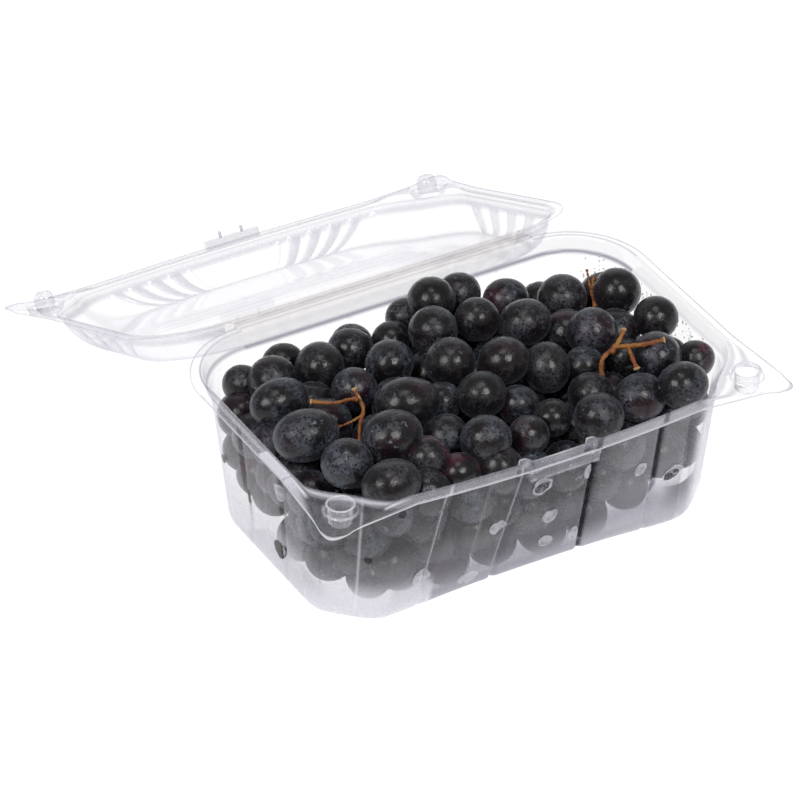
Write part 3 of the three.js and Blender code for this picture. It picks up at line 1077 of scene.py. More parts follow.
    def base_rows(self, ring: Array) -> Array:
        """Rings from the centre of the base out to its fillet, with the middle pushed up a little.

        The rings are the fillet's own, drawn in, and the arch climbs from them to the front.
        """
        share = np.array(self.base_shares)[:, None, None]
        rows = ring[None] * share
        plain = self.foot_rise * (1 - ease(share[..., 0], 0.80, 0.90))
        rows[..., 2] = self.arch(plain, self.fillet + np.abs(ring[None, :, 1]) * (1 - share[..., 0]))
        return rows

    def pocket(self, points: Array) -> Array:
        """Sinks the latch pocket into the front flange as a box with steep sides."""
        along = 1 - ease(np.abs(points[..., 0]), self.pocket_half, self.pocket_half + self.pocket_side)
        front = self.sizes.front_flange(self.perimeter)
        across = 1 - ease(np.abs(points[..., 1] - front), *self.pocket_across)
        sunk = points.copy()
        sunk[..., 2] -= self.pocket_depth * along * across
        return sunk

    def cup_foot(self) -> float:
        """The height of the ear that the cup stands on."""
        return self.sizes.depth - self.sizes.ear_drop

    def cup_profile(self) -> Array:
        """The press cup, from its foot on the ear over its lip down into its well."""
        outside = [(6.5, 0.05), (6.15, 0.35), (5.85, 1.1), (5.5, 2.2)]
        lip = [(5.3, -0.35), (5.1, -0.05), (4.9, 0.0), (4.7, -0.1), (4.58, -0.5)]
        inside = [(4.55, 0.0), (4.5, -2.4)]
        floor = [(4.4, 0.7), (4.1, 0.15), (3.6, 0.0), (2.0, 0.1)]
        foot = self.cup_foot()
        return stacked_profile((outside, foot), (lip, self.cup_lip), (inside, foot), (floor, self.cup_floor))

    def flange(self, across: Array) -> Array:
        """The flange, with its bead flattened and bent in at the lugs, and the latch pocket sunk in it."""
        rows = flange_rows(self.sizes, self.perimeter, across, self.sizes.depth, TRAY_FLANGE)
        x, y, z = np.moveaxis(rows, -1, 0)
        flat = blend(z, np.minimum(z, self.sizes.depth), np.clip(1.5 * self.lugs(x), 0, 1))
        return self.pocket(np.stack([x, self.push_lugs(x, y, 1 - ease(across, 0.1, 0.45)), flat], -1))

    def build(self) -> list[Object]:
        """Makes the shell with its cups.

        Returns:
            The pieces.
        """
        across = np.linspace(0, 1, FLANGE_ROWS)[1:, None]
        walls, flange = self.wall_rows(), self.flange(across)
        base = self.base_rows(walls[0])
        rows = np.concatenate([base, walls, flange])
        count, columns = rows.shape[:2]
        pole = count * columns
        points = np.vstack([rows.reshape(-1, 3), [0, 0, self.foot_rise]])
        faces = [grid_faces(count, columns, True), fan_faces(np.arange(columns), pole)[:, ::-1]]
        zone = range(pole - len(across) * columns, pole)
        cup = self.cup_profile()
        points, faces = weld_buttons(points, faces, self.sizes, self.cup_radius, zone, cup, False)
        shell = add_mesh("tray_shell", points, faces)
        on = self.perimeter.on
        flange_mirror = np.select([on(BACK), on(FRONT, *FRONT_CORNERS)], [0.25, 0.31], 0.62)
        add_film_looks(
            shell,
            # The base carries a little painted shade.
            FilmLook(base.shape[:2], haze_and_highlight=0.10, mirror=0.6, painted_shade=0.05),
            FilmLook(walls.shape[:2], self.wall_haze_and_highlight(walls), self.wall_mirror(walls), self.wall_painted_shade(walls)),
            FilmLook(flange.shape[:2], self.flange_haze_and_highlight(flange, across), flange_mirror,
                     self.flange_painted_shade(across), leaf_share(flange, self.perimeter)),
            FilmLook((len(points) - pole,), self.cup_haze_and_highlight(points[pole:, 2]), 0.75),
        )
        thicken(shell, self.sizes.wall)
        finish_piece(shell, Body.TRAY, Slot.CLEAR, self.film, self.edge)
        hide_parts("tray")
        return [shell]

    def cup_haze_and_highlight(self, z: Array) -> Array:
        """A cup is clear but for milky rings at its foot and its lip, which are painted highlights, and so is
        the base's pole.
        """
        ring = bell(z, self.cup_lip, 0.25) + 0.5 * bell(z, self.cup_foot() + 0.3, 0.25)
        return 0.01 + 0.55 * ring

    def upright_lines(self, z: Array, lines: Lines, half: float) -> Array:
        """Thin lines up the wall, which lean as the grooves do where they lie beside a leaning one.

        Args:
            z: the heights, in rows and stations.
            lines: by stretch, each line's place along it and its strength.
            half: half the width of a line, as a share of its stretch.

        Returns:
            The lines' strength at each point.
        """
        total = 0 * z
        for stretch, places in lines.items():
            for place, strength in places:
                beside = stretch is FRONT and place < 0.5
                lean = self.lean(z, int(place > 0.3)) if beside else 0.0
                line = bell(self.perimeter.along() - place, lean, half)
                total = total + strength * line * self.perimeter.on(stretch)
        return total

    def dark_grooves(self, rows: Array) -> Array:
        """The two grooves of the front that look dark, the second one only above its foot."""
        t = self.perimeter.along()
        third, fourth = (bell(t, place, self.groove_half, 4) for place in self.groove_places[2:])
        return (third + fourth * ease(rows[..., 2], 20, 26)) * self.perimeter.on(FRONT)

    def wall_haze_and_highlight(self, rows: Array) -> Array:
        """Milky low down and at the rim, with thin upright painted highlight lines beside some grooves and
        corners.
        """
        t = self.perimeter.along()
        on = self.perimeter.on
        x, z = rows[..., 0], rows[..., 2]
        front = on(FRONT) * (0.25 + 0.75 * ease(x, -6, 26)) + 0.9 * on(FRONT_RIGHT)
        seen = np.where(on(FRONT, LEFT, *FRONT_CORNERS), 1.0, 0.3)
        low = ((0.26 + 0.10 * front) * (1 - ease(z, 4, 22)) + 0.07 * (1 - ease(z, 20, 40))) * seen
        near_corner = on(FRONT_LEFT) + on(FRONT) * (1 - ease(t, 0.12, 0.14))
        foot = 0.50 * near_corner * (1 - ease(z, 5, 23))
        corner = 0.50 * on(FRONT_RIGHT) * ease(t, 0.05, 0.3) * (1 - ease(z, 40, 50))
        rim = 0.10 * ease(z, self.sizes.depth - 5.6, self.sizes.depth - 4.8)
        left = 0.30 * on(LEFT) * (1 - ease(z, 14, 30))
        far = 0.07 * on(FRONT) * ease(x, 15, 40)
        clear = 1 - 0.85 * (self.wall_mirror(rows) < 0.2)
        lines = self.upright_lines(z, HIGHLIGHT_LINES, self.highlight_line_half) * ease(z, 5, 12)
        return (0.012 + low + rim + left + corner + foot + far) * clear + lines

    def wall_painted_shade(self, rows: Array) -> Array:
        """Painted shade: darker low down on the front, more so to the right, in the dark grooves and at a few
        edges, where dark grapes and dark reflections show through the film.
        """
        on = self.perimeter.on
        x, z = rows[..., 0], rows[..., 2]
        right = ease(x, -20, 40)
        middle = ease(x, -52, -38) * (1 - right)
        low = (0.26 + 0.44 * right + 0.40 * middle) * (1 - ease(z, 14, 30 + 4 * right))
        grooves = 0.55 * (self.wall_mirror(rows) < 0.2) * ease(z, 3, 5)
        ledge = np.select([on(BACK_RIGHT, BACK), on(BACK_LEFT)], [0.8, 0.55], 0.25)
        lines = self.upright_lines(z, SHADE_LINES, self.shade_line_half) * ease(z, 4, 8)
        return (low + grooves) * on(FRONT) + lines + ledge * bell(z, self.sizes.depth - 5.4, 0.5)

    def flange_painted_shade(self, across: Array) -> Array:
        """Painted shade: a dark line by the inner bead, along the outer edge, and in the valleys of the hinge
        leaf.
        """
        on = self.perimeter.on
        inner = np.select([on(BACK_RIGHT), on(BACK_LEFT)], [0.9, 0.55], 0.30)
        edges = inner * bell(across, 0.20, 0.07) + 0.35 * ease(across, 0.95, 0.99)
        return np.where(on(BACK), 0.42 * leaf_valley_shade(across), edges)

    def wall_mirror(self, rows: Array) -> Array:
        """Less mirror than a flat film would have, and hardly any in two grooves that look dark."""
        on = self.perimeter.on
        share = np.select([on(LEFT), on(FRONT_LEFT, FRONT)], [0.45, 0.46], 0.62)
        return share * (1 - 0.88 * self.dark_grooves(rows))

    def flange_haze_and_highlight(self, rows: Array, across: Array) -> Array:
        """Milky along the front, more so towards the right, as a painted reflection, with painted highlight
        lines at the inner bead and the outer edges, and painted glints in short fields by the ears.
        """
        on = self.perimeter.on
        x, y = rows[..., 0], rows[..., 1]
        front = (0.02 + 0.06 * ease(x, -10, 40)) * on(FRONT)
        outer = 0.40 * ease(across, 0.90, 0.96) * on(FRONT, LEFT)
        on_front = window(np.abs(x), (60.6, 61.2), (70.4, 71.0)) * (y < -52)
        on_left = window(-y, (10.6, 11.2), (41.0, 41.6)) * (x < -80)
        on_left = on_left * (1 - 0.8 * window(-y, (27.9, 28.4), (29.0, 29.5)))
        fields = 0.74 * (on_front + on_left) * window(across, (0.16, 0.24), (0.90, 0.95))
        on_corner = on(*FRONT_CORNERS)
        places = [on_corner, on(FRONT), on(LEFT), on(BACK)]
        bead = np.select(places, [0.6, 0.75, 0.45, 0.0], 0.15)
        inner = bead * bell(across, 0.045, np.where(on_corner, 0.02, 0.05))
        ear_edge = 0.65 * ease(across, 0.92, 0.97) * on_corner
        rest = 0.03 * on(BACK_RIGHT, BACK_LEFT, RIGHT, LEFT)
        return np.clip(front + outer + fields + inner + ear_edge + rest + 0.01, 0, 0.9)


def leaf_valley_shade(across: Array) -> Array:
    """Painted shade: thin dark lines along a hinge leaf, one in the valley of each of its ridges."""
    return bell((across * LEAF_RIDGES + 0.5) % 1.0, 0.5, 0.08) * ease(across, 0.1, 0.2)


def leaf_share(flange: Array, perimeter: Perimeter) -> Array:
    """Where a flange is its hinge leaf: the middle of the back."""
    return perimeter.on(BACK) * (1 - ease(np.abs(flange[..., 0]), 64.0, 68.0))


# Lid and hinge


@dataclass(frozen=True)
class Hinge:
    """The hinge line, and the turn that carries the lid from shut to lying back."""

    y: float
    z: float
    open_angle: float

    def open(self, points: Array) -> Array:
        """Turns points of the shut lid about the hinge line to where they lie when open."""
        angle = -self.open_angle
        y, z = points[..., 1] - self.y, points[..., 2] - self.z
        turned_y = y * math.cos(angle) - z * math.sin(angle)
        turned_z = y * math.sin(angle) + z * math.cos(angle)
        return np.stack([points[..., 0], self.y + turned_y, self.z + turned_z], -1)


@dataclass
class Lid:
    """The clear lid: a flange like the tray's, a low ribbed dome, two knobs and a latch tab."""

    sizes: PunnetSizes
    perimeter: Perimeter
    hinge: Hinge
    film: Material
    edge: Material
    shoulder_rise: float = 2.4
    shoulder_in: float = 1.6
    panel: Pair = (80.7, 49.7)
    panel_front: float = 44.0
    panel_dent: float = 9.0
    panel_sink: float = 0.3
    rib_depth: float = 1.7
    rib_count: float = 13.0
    boss_radius: float = 8.25
    boss_top: float = 66.95
    knob_end: float = 58.65
    field_middle: float = 2.0
    field_along: Pair = (55.0, 57.0)
    field_across: Pair = (27.0, 29.0)
    latch_middle: float = 2.4
    latch_half: Pair = (11.6, 1.4)
    latch_drop: float = 2.9
    latch_round: float = 0.45
    post_out: float = 4.7
    post_half: Pair = (0.6, 0.6)
    post_drops: Pair = (5.3, 2.6)

    def foot(self) -> float:
        """The height of the lid's flange when shut."""
        return self.sizes.depth + self.sizes.lid_gap + self.sizes.wall / 2

    def ribs(self) -> Array:
        """Upright ribs round the dome, but for the plain middle of the front."""
        t = self.perimeter.along()
        wave = 0.5 - 0.5 * np.cos(TURN * t * self.rib_count)
        ends = ease(self.perimeter.from_ends(), 0.0, 0.05)
        front = ease(wave, 0.15, 0.85) * ends * ease(np.abs(t - 0.5), 0.16, 0.18)
        short = 0.6 * ease(0.5 - 0.5 * np.cos(4 * TURN * t), 0.2, 0.8) * ends
        on = self.perimeter.on
        places = [on(FRONT), on(BACK), on(RIGHT, LEFT)]
        return np.select(places, [front, 0.3 * front, short], 0.0)

    def dome_rows(self) -> Array:
        """The shoulder and the dome, from the flange's inner edge up to the panel.

        The shoulder stands nearly upright. Above it the plan shrinks towards the panel as the
        height rises, both eased, so the dome swells out, and its front corners cut in more deeply.

        Returns:
            Points in rows and stations.
        """
        rise = np.linspace(0, 1, 6)[1:, None]
        shoulder = self.sizes.level(np.ones_like(rise)).grown(-self.shoulder_in * ease(rise, 0.3, 1.0))
        x0, y0 = self.perimeter.points(shoulder, 0.0, 0.0, 0.0)
        z0 = self.foot() + self.shoulder_rise * rise + 0 * x0

        part = np.linspace(0, 1, 22)[1:, None]
        start = self.sizes.level(np.ones_like(part)).grown(-self.shoulder_in)
        inward = part**1.35
        level = Level(
            blend(start.half_x, self.panel[0], inward),
            blend(start.half_y, self.panel[1], inward),
            blend(start.front, self.panel_front, part),
            blend(start.back, self.sizes.corner_back[1], part),
            blend(start.dent, self.panel_dent, part),
        )
        x1, y1 = self.perimeter.points(level, 0.0, 0.0, 0.0)
        height = self.sizes.lid_height - self.shoulder_rise - self.sizes.wall
        z1 = self.foot() + self.shoulder_rise + height * np.sin(part * math.pi / 2) ** 0.8 + 0 * x1
        fade = window(part, (0.02, 0.2), (0.75, 1.0))
        x1, y1 = self.perimeter.push_in(x1, y1, self.rib_depth * self.ribs() * fade)
        return np.concatenate([np.stack([x0, y0, z0], -1), np.stack([x1, y1, z1], -1)])

    def sunk_field(self, rows: Array) -> Array:
        """Where the sunk field in the middle of the panel is."""
        along = 1 - ease(np.abs(rows[..., 0]), *self.field_along)
        return along * (1 - ease(np.abs(rows[..., 1] - self.field_middle), *self.field_across))

    def panel_rows(self, ring: Array) -> Array:
        """The flat top, in rings towards its centre, with a shallow sunk field in its middle."""
        rows = ring[None] * np.linspace(1, 0.04, 26)[1:, None, None]
        rows[..., 2] = ring[None, :, 2] - self.panel_sink * self.sunk_field(rows)
        return rows

    def knob_profile(self) -> Array:
        """A round boss that clears the tray's cup, and the bulb that hangs from its middle."""
        boss = [(7.8, 0.08), (7.35, 0.5), (7.0, 1.3), (6.6, 2.5)]
        top = [(6.25, -0.3), (5.9, 0.0), (5.0, 0.0), (4.35, -0.2), (3.7, -0.8), (3.4, -1.6), (3.55, -2.6)]
        bulb = [(3.75, 4.6), (3.88, 3.6), (3.82, 2.6), (3.5, 1.6), (3.0, 0.8), (2.3, 0.25), (1.2, 0.0)]
        ear = self.foot() - self.sizes.ear_drop
        return stacked_profile((boss, ear), (top, self.boss_top), (bulb, self.knob_end))

    def knob_look(self, z: Array) -> FilmLook:
        """A boss is all but unseen. A bulb has a mirror's gloss, a milky neck and a little painted shade."""
        bulb = 1 - ease(z, 64.6, 65.4)
        mirror = 0.15 + 0.6 * bulb
        haze_and_highlight = 0.01 + 0.30 * bell(z, 65.0, 0.5) + 0.07 * bulb
        return FilmLook(z.shape, haze_and_highlight, mirror, 0.02 * ease(mirror, 0.3, 0.5))

    def build(self) -> list[Object]:
        """Makes the shell with its knobs, and the latch tab.

        Returns:
            The pieces.
        """
        across = np.linspace(1, 0, FLANGE_ROWS)[:, None]
        flange = flange_rows(self.sizes, self.perimeter, across, self.foot(), LID_FLANGE)
        dome = self.dome_rows()
        panel = self.panel_rows(dome[-1])
        rows = np.concatenate([flange, dome, panel])
        count, columns = rows.shape[:2]
        pole = count * columns
        points = np.vstack([rows.reshape(-1, 3), rows[-1].mean(0)])
        faces = [grid_faces(count, columns, True), fan_faces(pole - columns + np.arange(columns), pole)]
        zone = range(len(across) * columns)
        knob = self.knob_profile()
        points, faces = weld_buttons(points, faces, self.sizes, self.boss_radius, zone, knob, True)
        shell = add_mesh("lid_shell", self.hinge.open(points), faces)

        back = self.perimeter.on(BACK)
        round_back = self.perimeter.on(BACK_RIGHT, BACK, BACK_LEFT)
        flange_plain = np.maximum(leaf_share(flange, self.perimeter), 0.7 * round_back)
        add_film_looks(
            shell,
            FilmLook(flange.shape[:2], self.flange_haze_and_highlight(across), np.where(back, 0.2, 0.6),
                     self.flange_painted_shade(across), flange_plain),
            FilmLook(dome.shape[:2], self.dome_haze_and_highlight(dome), 0.6, self.dome_painted_shade(dome), 0.8 * back),
            FilmLook(panel.shape[:2], self.panel_haze(panel), 0.6, 0.01, 0.55),
            self.knob_look(points[pole:, 2]),
        )
        thicken(shell, self.sizes.wall)
        finish_piece(shell, Body.LID, Slot.CLEAR, self.film, self.edge)
        pieces = [shell, self.latch()]
        for piece in pieces:
            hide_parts("lid")
        return pieces

    def flange_haze_and_highlight(self, across: Array) -> Array:
        """Painted highlights: milky lines along the inner and outer edges, where the film's edges catch
        light; the back stretch is all but clear.
        """
        edges = 0.05 + 0.42 * bell(across, 0.15, 0.06) + 0.30 * ease(across, 0.9, 0.97)
        return np.where(self.perimeter.on(BACK), 0.01, edges)

    def flange_painted_shade(self, across: Array) -> Array:
        """Painted shade: dark lines at the bead and the outer edge, and in the valleys of the hinge leaf."""
        edges = 0.30 * bell(across, 0.28, 0.05) + 0.45 * ease(across, 0.95, 0.99)
        return np.where(self.perimeter.on(BACK), 0.42 * leaf_valley_shade(across), edges)

    def dome_painted_shade(self, rows: Array) -> Array:
        """Painted shade: thin dark lines where the shoulder turns and where the ribs start."""
        part, ribs = self.dome_part(rows)
        lines = 0.28 * bell(part, 0.22, 0.02) + 0.15 * bell(part, 0.08, 0.03) + 0.12 * bell(part, 0.93, 0.04)
        return (lines + 0.10 * ribs) * np.where(self.perimeter.on(BACK), 0.1, 1.0)

    def dome_haze_and_highlight(self, rows: Array) -> Array:
        """Painted highlights: a milky line where the shoulder turns, and milky bands between the flutes."""
        part, ribs = self.dome_part(rows)
        turn = 0.30 * bell(part, 0.2, 0.04) + 0.12 * (1 - ease(part, 0.18, 0.26))
        bands = 0.42 * ribs + 0.10 * ease(part, 0.78, 0.95)
        return 0.01 + (turn + bands) * np.where(self.perimeter.on(BACK), 0.15, 1.0)

    def dome_part(self, rows: Array) -> tuple[Array, Array]:
        """How far up the shoulder and dome each of their rows is, and where the ribs show."""
        part = np.linspace(0, 1, len(rows))[:, None]
        return part, self.ribs() * window(part, (0.2, 0.26), (0.85, 1.0))

    def panel_haze(self, rows: Array) -> Array:
        """The sunk field is milkier than the rest, with fine lines along it."""
        y = rows[..., 1]
        lines = bell((y / 6.0) % 1.0, 0.5, 0.10) * ease(-y, -20, -8)
        return 0.02 + self.sunk_field(rows) * (0.04 + 0.10 * lines)

    def latch(self) -> Object:
        """The latch tab: a rounded block under the front flange, with two small posts."""
        rim = self.sizes.depth
        middle = np.array([self.latch_middle, self.sizes.front_flange(self.perimeter)])
        boxes = [box_corners(middle, self.latch_half, (rim - self.latch_drop, self.foot()))]
        post_ends = (rim - self.post_drops[0], rim - self.post_drops[1])
        for side in (-1, 1):
            boxes.append(box_corners(middle + [side * self.post_out, 0.0], self.post_half, post_ends))
        sides = np.array([[0, 1, 3, 2], [4, 6, 7, 5], [0, 4, 5, 1], [2, 3, 7, 6], [0, 2, 6, 4], [1, 5, 7, 3]])
        faces = [repeat_faces(sides, len(boxes), 8)]
        latch = add_mesh("lid_latch", self.hinge.open(np.vstack(boxes)), faces, smooth=False)
        # The latch's blocks carry painted shade.
        add_film_looks(latch, FilmLook((8,), 0.22, painted_shade=0.12), FilmLook((16,), 0.6, painted_shade=0.3))
        bevel = latch.modifiers.new("round", "BEVEL")
        bevel.width = self.latch_round * MM
        bevel.segments = 3
        finish_piece(latch, Body.LID, Slot.CLEAR, self.film)
        return latch


def box_corners(middle: Array, half: Pair, heights: Pair) -> Array:
    """The corners of a box, from its middle and half sizes in plan and its two heights."""
    low, high = middle - half, middle + half
    ends = (low[0], high[0]), (low[1], high[1]), heights
    return np.array(np.meshgrid(*ends, indexing="ij")).reshape(3, -1).T


@dataclass
class HingeFilm:
    """The creased film that joins the two hinge leaves."""

    sizes: PunnetSizes
    hinge: Hinge
    material: Material
    half_width: float = 0.9
    inset: float = 1.3
    off_leaf: float = 0.2
    sag: float = 0.35
    rows: int = 13
    columns: int = 60

    def build(self) -> Object:
        """Makes a strip whose section follows both leaves and sags a little between them.

        Returns:
            The piece, which spans from the tray to the lid.
        """
        y = self.hinge.y - self.inset
        start = np.array([y, self.sizes.depth - self.off_leaf])
        lid_edge = np.array([[0.0, y, self.sizes.depth + self.sizes.lid_gap + self.off_leaf]])
        part = np.linspace(0, 1, self.rows)[:, None]
        line = blend(start, self.hinge.open(lid_edge)[0, 1:], part)
        line[:, 1:] -= self.sag * np.sin(math.pi * part)
        x = np.linspace(-self.sizes.leaf_half, self.sizes.leaf_half, self.columns)
        shape = (self.rows, self.columns)
        columns = [np.broadcast_to(value, shape) for value in (x, line[:, :1], line[:, 1:])]
        points = np.stack(columns, -1).reshape(-1, 3)
        film = add_mesh("hinge_film", points, [grid_faces(*shape, False)])
        add_film_looks(film, FilmLook(shape, 0.06, 0.2, 0.0, 1.0))
        film.data.materials.append(self.material)
        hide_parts("lid")
        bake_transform(film)
        log.info("hinge_film: bends between tray and lid")
        return film


# Grapes


@dataclass(frozen=True)
class Placed:
    """A listed grape: its centre, with height from the rim, its radius, length and lie.

    A redness below 0 reddens only its stalk end.
    """

    x: float
    y: float
    lift: float
    radius: float = 9.0
    long: float = 1.05
    lie: float = 0.0
    tilt: float = 0.0
    redness: float = 0.0
    bloom: float = 0.5


@dataclass
class GrapeHeap:
    """Loose grapes packed in the tray round listed grapes, over a dark core."""

    sizes: PunnetSizes
    wall: Wall
    skin: Material
    shade_core_material: Material
    placed: tuple[Placed, ...]
    seed: int = 11
    count: int = 160
    rounds: int = 420
    clearance: float = 0.3
    floor: float = 1.7
    swell: float = 1.02
    loose_share: float = 0.42
    laid_share: float = 0.14
    settling: float = 0.25
    spring: float = 0.5
    highest: float = 76.7
    turn: float = 6.283
    start_half: Point = (78.0, 50.0, 25.0)
    start_height: float = 32.0
    loose_radius: Pair = (8.8, 0.5)
    radius_limits: Pair = (7.5, 9.9)
    loose_long: Pair = (1.0, 1.10)
    loose_bloom: Pair = (0.3, 1.0)
    bloom_change: float = 0.35
    red_from: float = 0.85
    reddest: float = 0.9
    lobes: Pair = (0.012, 0.009)
    dimple: Pair = (0.055, 0.2)
    tip: Pair = (0.02, 0.12)
    egg: float = 0.035
    core_half: Point = (62.0, 28.0, 16.0)
    core_height: float = 29.0

    def surface(self, x: Array, y: Array) -> Array:
        """How high the centres of loose grapes may lie: crowned, low at the back and its corners."""
        crown = 3 - 4 * (x / 80) ** 2 - 3 * ((y - 8) / 50) ** 2
        back = -7 * ease(y, 28, 52) - 6 * ease(-x, 30, 80) * ease(y, 10, 50)
        corner = -14 * ease(x, 42, 80) * ease(y, 22, 50)
        front = -3 * ease(-y, 30, 55) - 9 * ease(-x, 46, 74) * ease(-y, 18, 44)
        left = -10 * ease(-x, 62, 74) * (1 - ease(y, -2, 18)) * ease(y, -46, -30)
        return self.sizes.depth + crown + back + corner + front + left - 7.0

    def void(self, x: Array, y: Array) -> Array:
        """How far off the floor the grapes stay near the walls that are seen."""
        left = np.interp(y, [-30, -20, -6, 14, 32], [0.0, 6.0, 10.0, 19.0, 25.0]) * ease(-x, 44, 62)
        corner = 9.0 * ease(-x, 46, 66) * ease(-y, 10, 26)
        right = 11.0 * ease(x, 18, 36) * ease(-y, 14, 30)
        return np.maximum(np.maximum(left, corner), right)

    def pack(self, long: Array, axis: Array) -> tuple[Array, Array]:
        """Lets the loose grapes settle round the laid ones.

        Each round pushes overlapping pairs apart, draws every loose grape a little downwards and
        every laid one towards its own place, and returns all of them inside the tray.

        Args:
            long: each grape's length as a share of its width.
            axis: the direction of each grape's length.

        Returns:
            The centres and the half widths, laid grapes first.
        """
        random = np.random.default_rng(self.seed)
        home = np.array([[g.x, g.y, self.sizes.depth + g.lift] for g in self.placed])
        laid = len(home)
        loose = random.uniform(-1, 1, (self.count, 3)) * self.start_half + [0, 0, self.start_height]
        loose_width = random.normal(*self.loose_radius, self.count).clip(*self.radius_limits)
        width = self.values("radius", loose_width)
        centre = np.vstack([home, loose])
        free = np.arange(len(centre)) >= laid
        mean = width * long ** (1 / 3)
        reach = mean[:, None] + mean[None]
        for number in range(self.rounds):
            offset = centre[:, None] - centre[None]
            distance = np.linalg.norm(offset, axis=2) + np.eye(len(centre)) * 1e3
            overlap = np.clip(reach - distance, 0, None)
            push = (offset / distance[..., None] * overlap[..., None]).sum(1)
            centre = centre + push * np.where(free, self.loose_share, self.laid_share)[:, None]
            centre[:laid] += (home - centre[:laid]) * self.spring
            centre[free, 2] -= self.settling * (1 - number / self.rounds)
            centre = self.contain(centre, width, long, axis, free)
        _, deep = self.into_wall(centre, width, long, axis)
        log.info("grapes: %d, deepest in a wall %.2f mm", len(centre), deep.max())
        return centre, width

    def reach_along(self, normal: Array, width: Array, long: Array, axis: Array) -> Array:
        """How far each stretched grape reaches along a direction."""
        along = (normal * axis).sum(1)
        return width * np.sqrt(1 - along**2 + (along * long) ** 2) * self.swell

    def into_wall(self, centre: Array, width: Array, long: Array, axis: Array) -> tuple[Array, Array]:
        """The wall's direction by each grape, and how far the grape reaches past the wall."""
        _, normal, distance = self.wall.nearest(centre)
        return normal, self.reach_along(normal, width, long, axis) + self.clearance - distance

    def contain(self, centre: Array, width: Array, long: Array, axis: Array, free: Array) -> Array:
        """Moves centres inside the walls, off the floor and its voids, and loose ones under the surface."""
        for _ in range(3):
            normal, deep = self.into_wall(centre, width, long, axis)
            centre = centre + normal * np.clip(deep, 0, None)[:, None]
        up = self.reach_along(np.broadcast_to([0.0, 0.0, 1.0], axis.shape), width, long, axis)
        low = up + self.floor
        low = low + np.where(free, self.void(centre[:, 0], centre[:, 1]), 0.0)
        high = np.where(free, self.surface(centre[:, 0], centre[:, 1]), self.highest - up)
        centre[:, 2] = np.clip(centre[:, 2], low, np.maximum(high, low))
        return centre

    def values(self, name: str, loose: Array) -> Array:
        """One value of every grape: the laid ones' own, then the loose ones'."""
        return np.concatenate([[getattr(g, name) for g in self.placed], loose])

    def build(self) -> list[Object]:
        """Makes the laid grapes, the loose ones and the core.

        Returns:
            The pieces.
        """
        random = np.random.default_rng(self.seed + 1)
        lot = self.count
        laid, total = len(self.placed), len(self.placed) + lot
        long = self.values("long", random.uniform(*self.loose_long, lot))
        lie = np.concatenate([[math.radians(g.lie) for g in self.placed], random.uniform(0, self.turn, lot)])
        tilt = np.concatenate([[math.radians(g.tilt) for g in self.placed], random.uniform(-1.5, 1.5, lot)])
        redness = self.values("redness", (random.uniform(0, 1, lot) > self.red_from) * self.reddest)
        redness = np.where(redness < 0, redness, np.maximum(redness, 0.22 * np.sin(np.arange(total)) ** 2))
        bloom = self.values("bloom", random.uniform(*self.loose_bloom, lot))
        bloom = np.clip(bloom + random.uniform(-self.bloom_change, self.bloom_change, total), 0.05, 1.0)
        lump = random.uniform(0, self.turn, (total, 3))
        axis = np.stack([np.cos(lie) * np.cos(tilt), np.sin(lie) * np.cos(tilt), np.sin(tilt)], 1)
        centre, width = self.pack(long, axis)
        values = (centre, width, long, axis, lump, redness, bloom)
        return [
            self.joined("grapes_laid", (15, 22), *(value[:laid] for value in values)),
            self.joined("grapes_loose", (9, 14), *(value[laid:] for value in values)),
            self.core(),
        ]

    def joined(
        self, name: str, grid: tuple[int, int], centre: Array, width: Array, long: Array, axis: Array,
        lump: Array, redness: Array, bloom: Array,
    ) -> Object:
        """Joins some grapes into one mesh.

        Each grape is a sphere stretched along its own axis, with a slight egg shape, two soft
        lumps, a dimple at its stalk end and a low point at the other.

        Args:
            name: the piece's name.
            grid: rings between the ends, and points to a ring.
            centre: the centres.
            width: half the widths.
            long: each grape's length as a share of its width.
            axis: the direction of each grape's length.
            lump: three phases for each grape's lumps.
            redness: how red each is.
            bloom: how waxy each is.

        Returns:
            The piece.
        """
        rows, columns = grid
        total = len(centre)
        polar = np.linspace(0, math.pi, rows + 2)
        body = self.unit_grapes(polar[1:-1], circle(columns), lump, long)
        poles = self.unit_grapes(polar[[0, -1]], np.zeros(1), lump, long)
        shapes = np.concatenate([body.reshape(total, -1, 3), poles.reshape(total, -1, 3)], 1)
        side = unit(np.cross(axis, [0.12, 0.23, 0.97]))
        basis = np.stack([side, np.cross(axis, side), axis], 1)
        points = np.einsum("gvk,gkj->gvj", shapes * width[:, None, None], basis) + centre[:, None]
        per = shapes.shape[1]
        faces = [repeat_faces(part[:, ::-1], total, per) for part in capped_faces(rows, columns)]
        grapes = add_mesh(name, points.reshape(-1, 3), faces)
        ends = np.tile(np.concatenate([np.repeat(polar[1:-1] / math.pi, columns), [0.0, 1.0]]), total)
        whole = np.repeat(redness, per)
        add_values(grapes, "end", ends)
        add_values(grapes, "redness", np.where(whole < 0, -whole * (1 - ease(ends, 0.18, 0.36)), whole))
        add_values(grapes, "bloom", np.repeat(bloom, per))
        finish_piece(grapes, Body.TRAY, Slot.GRAPE, self.skin)
        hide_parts("grape_heap")
        return grapes

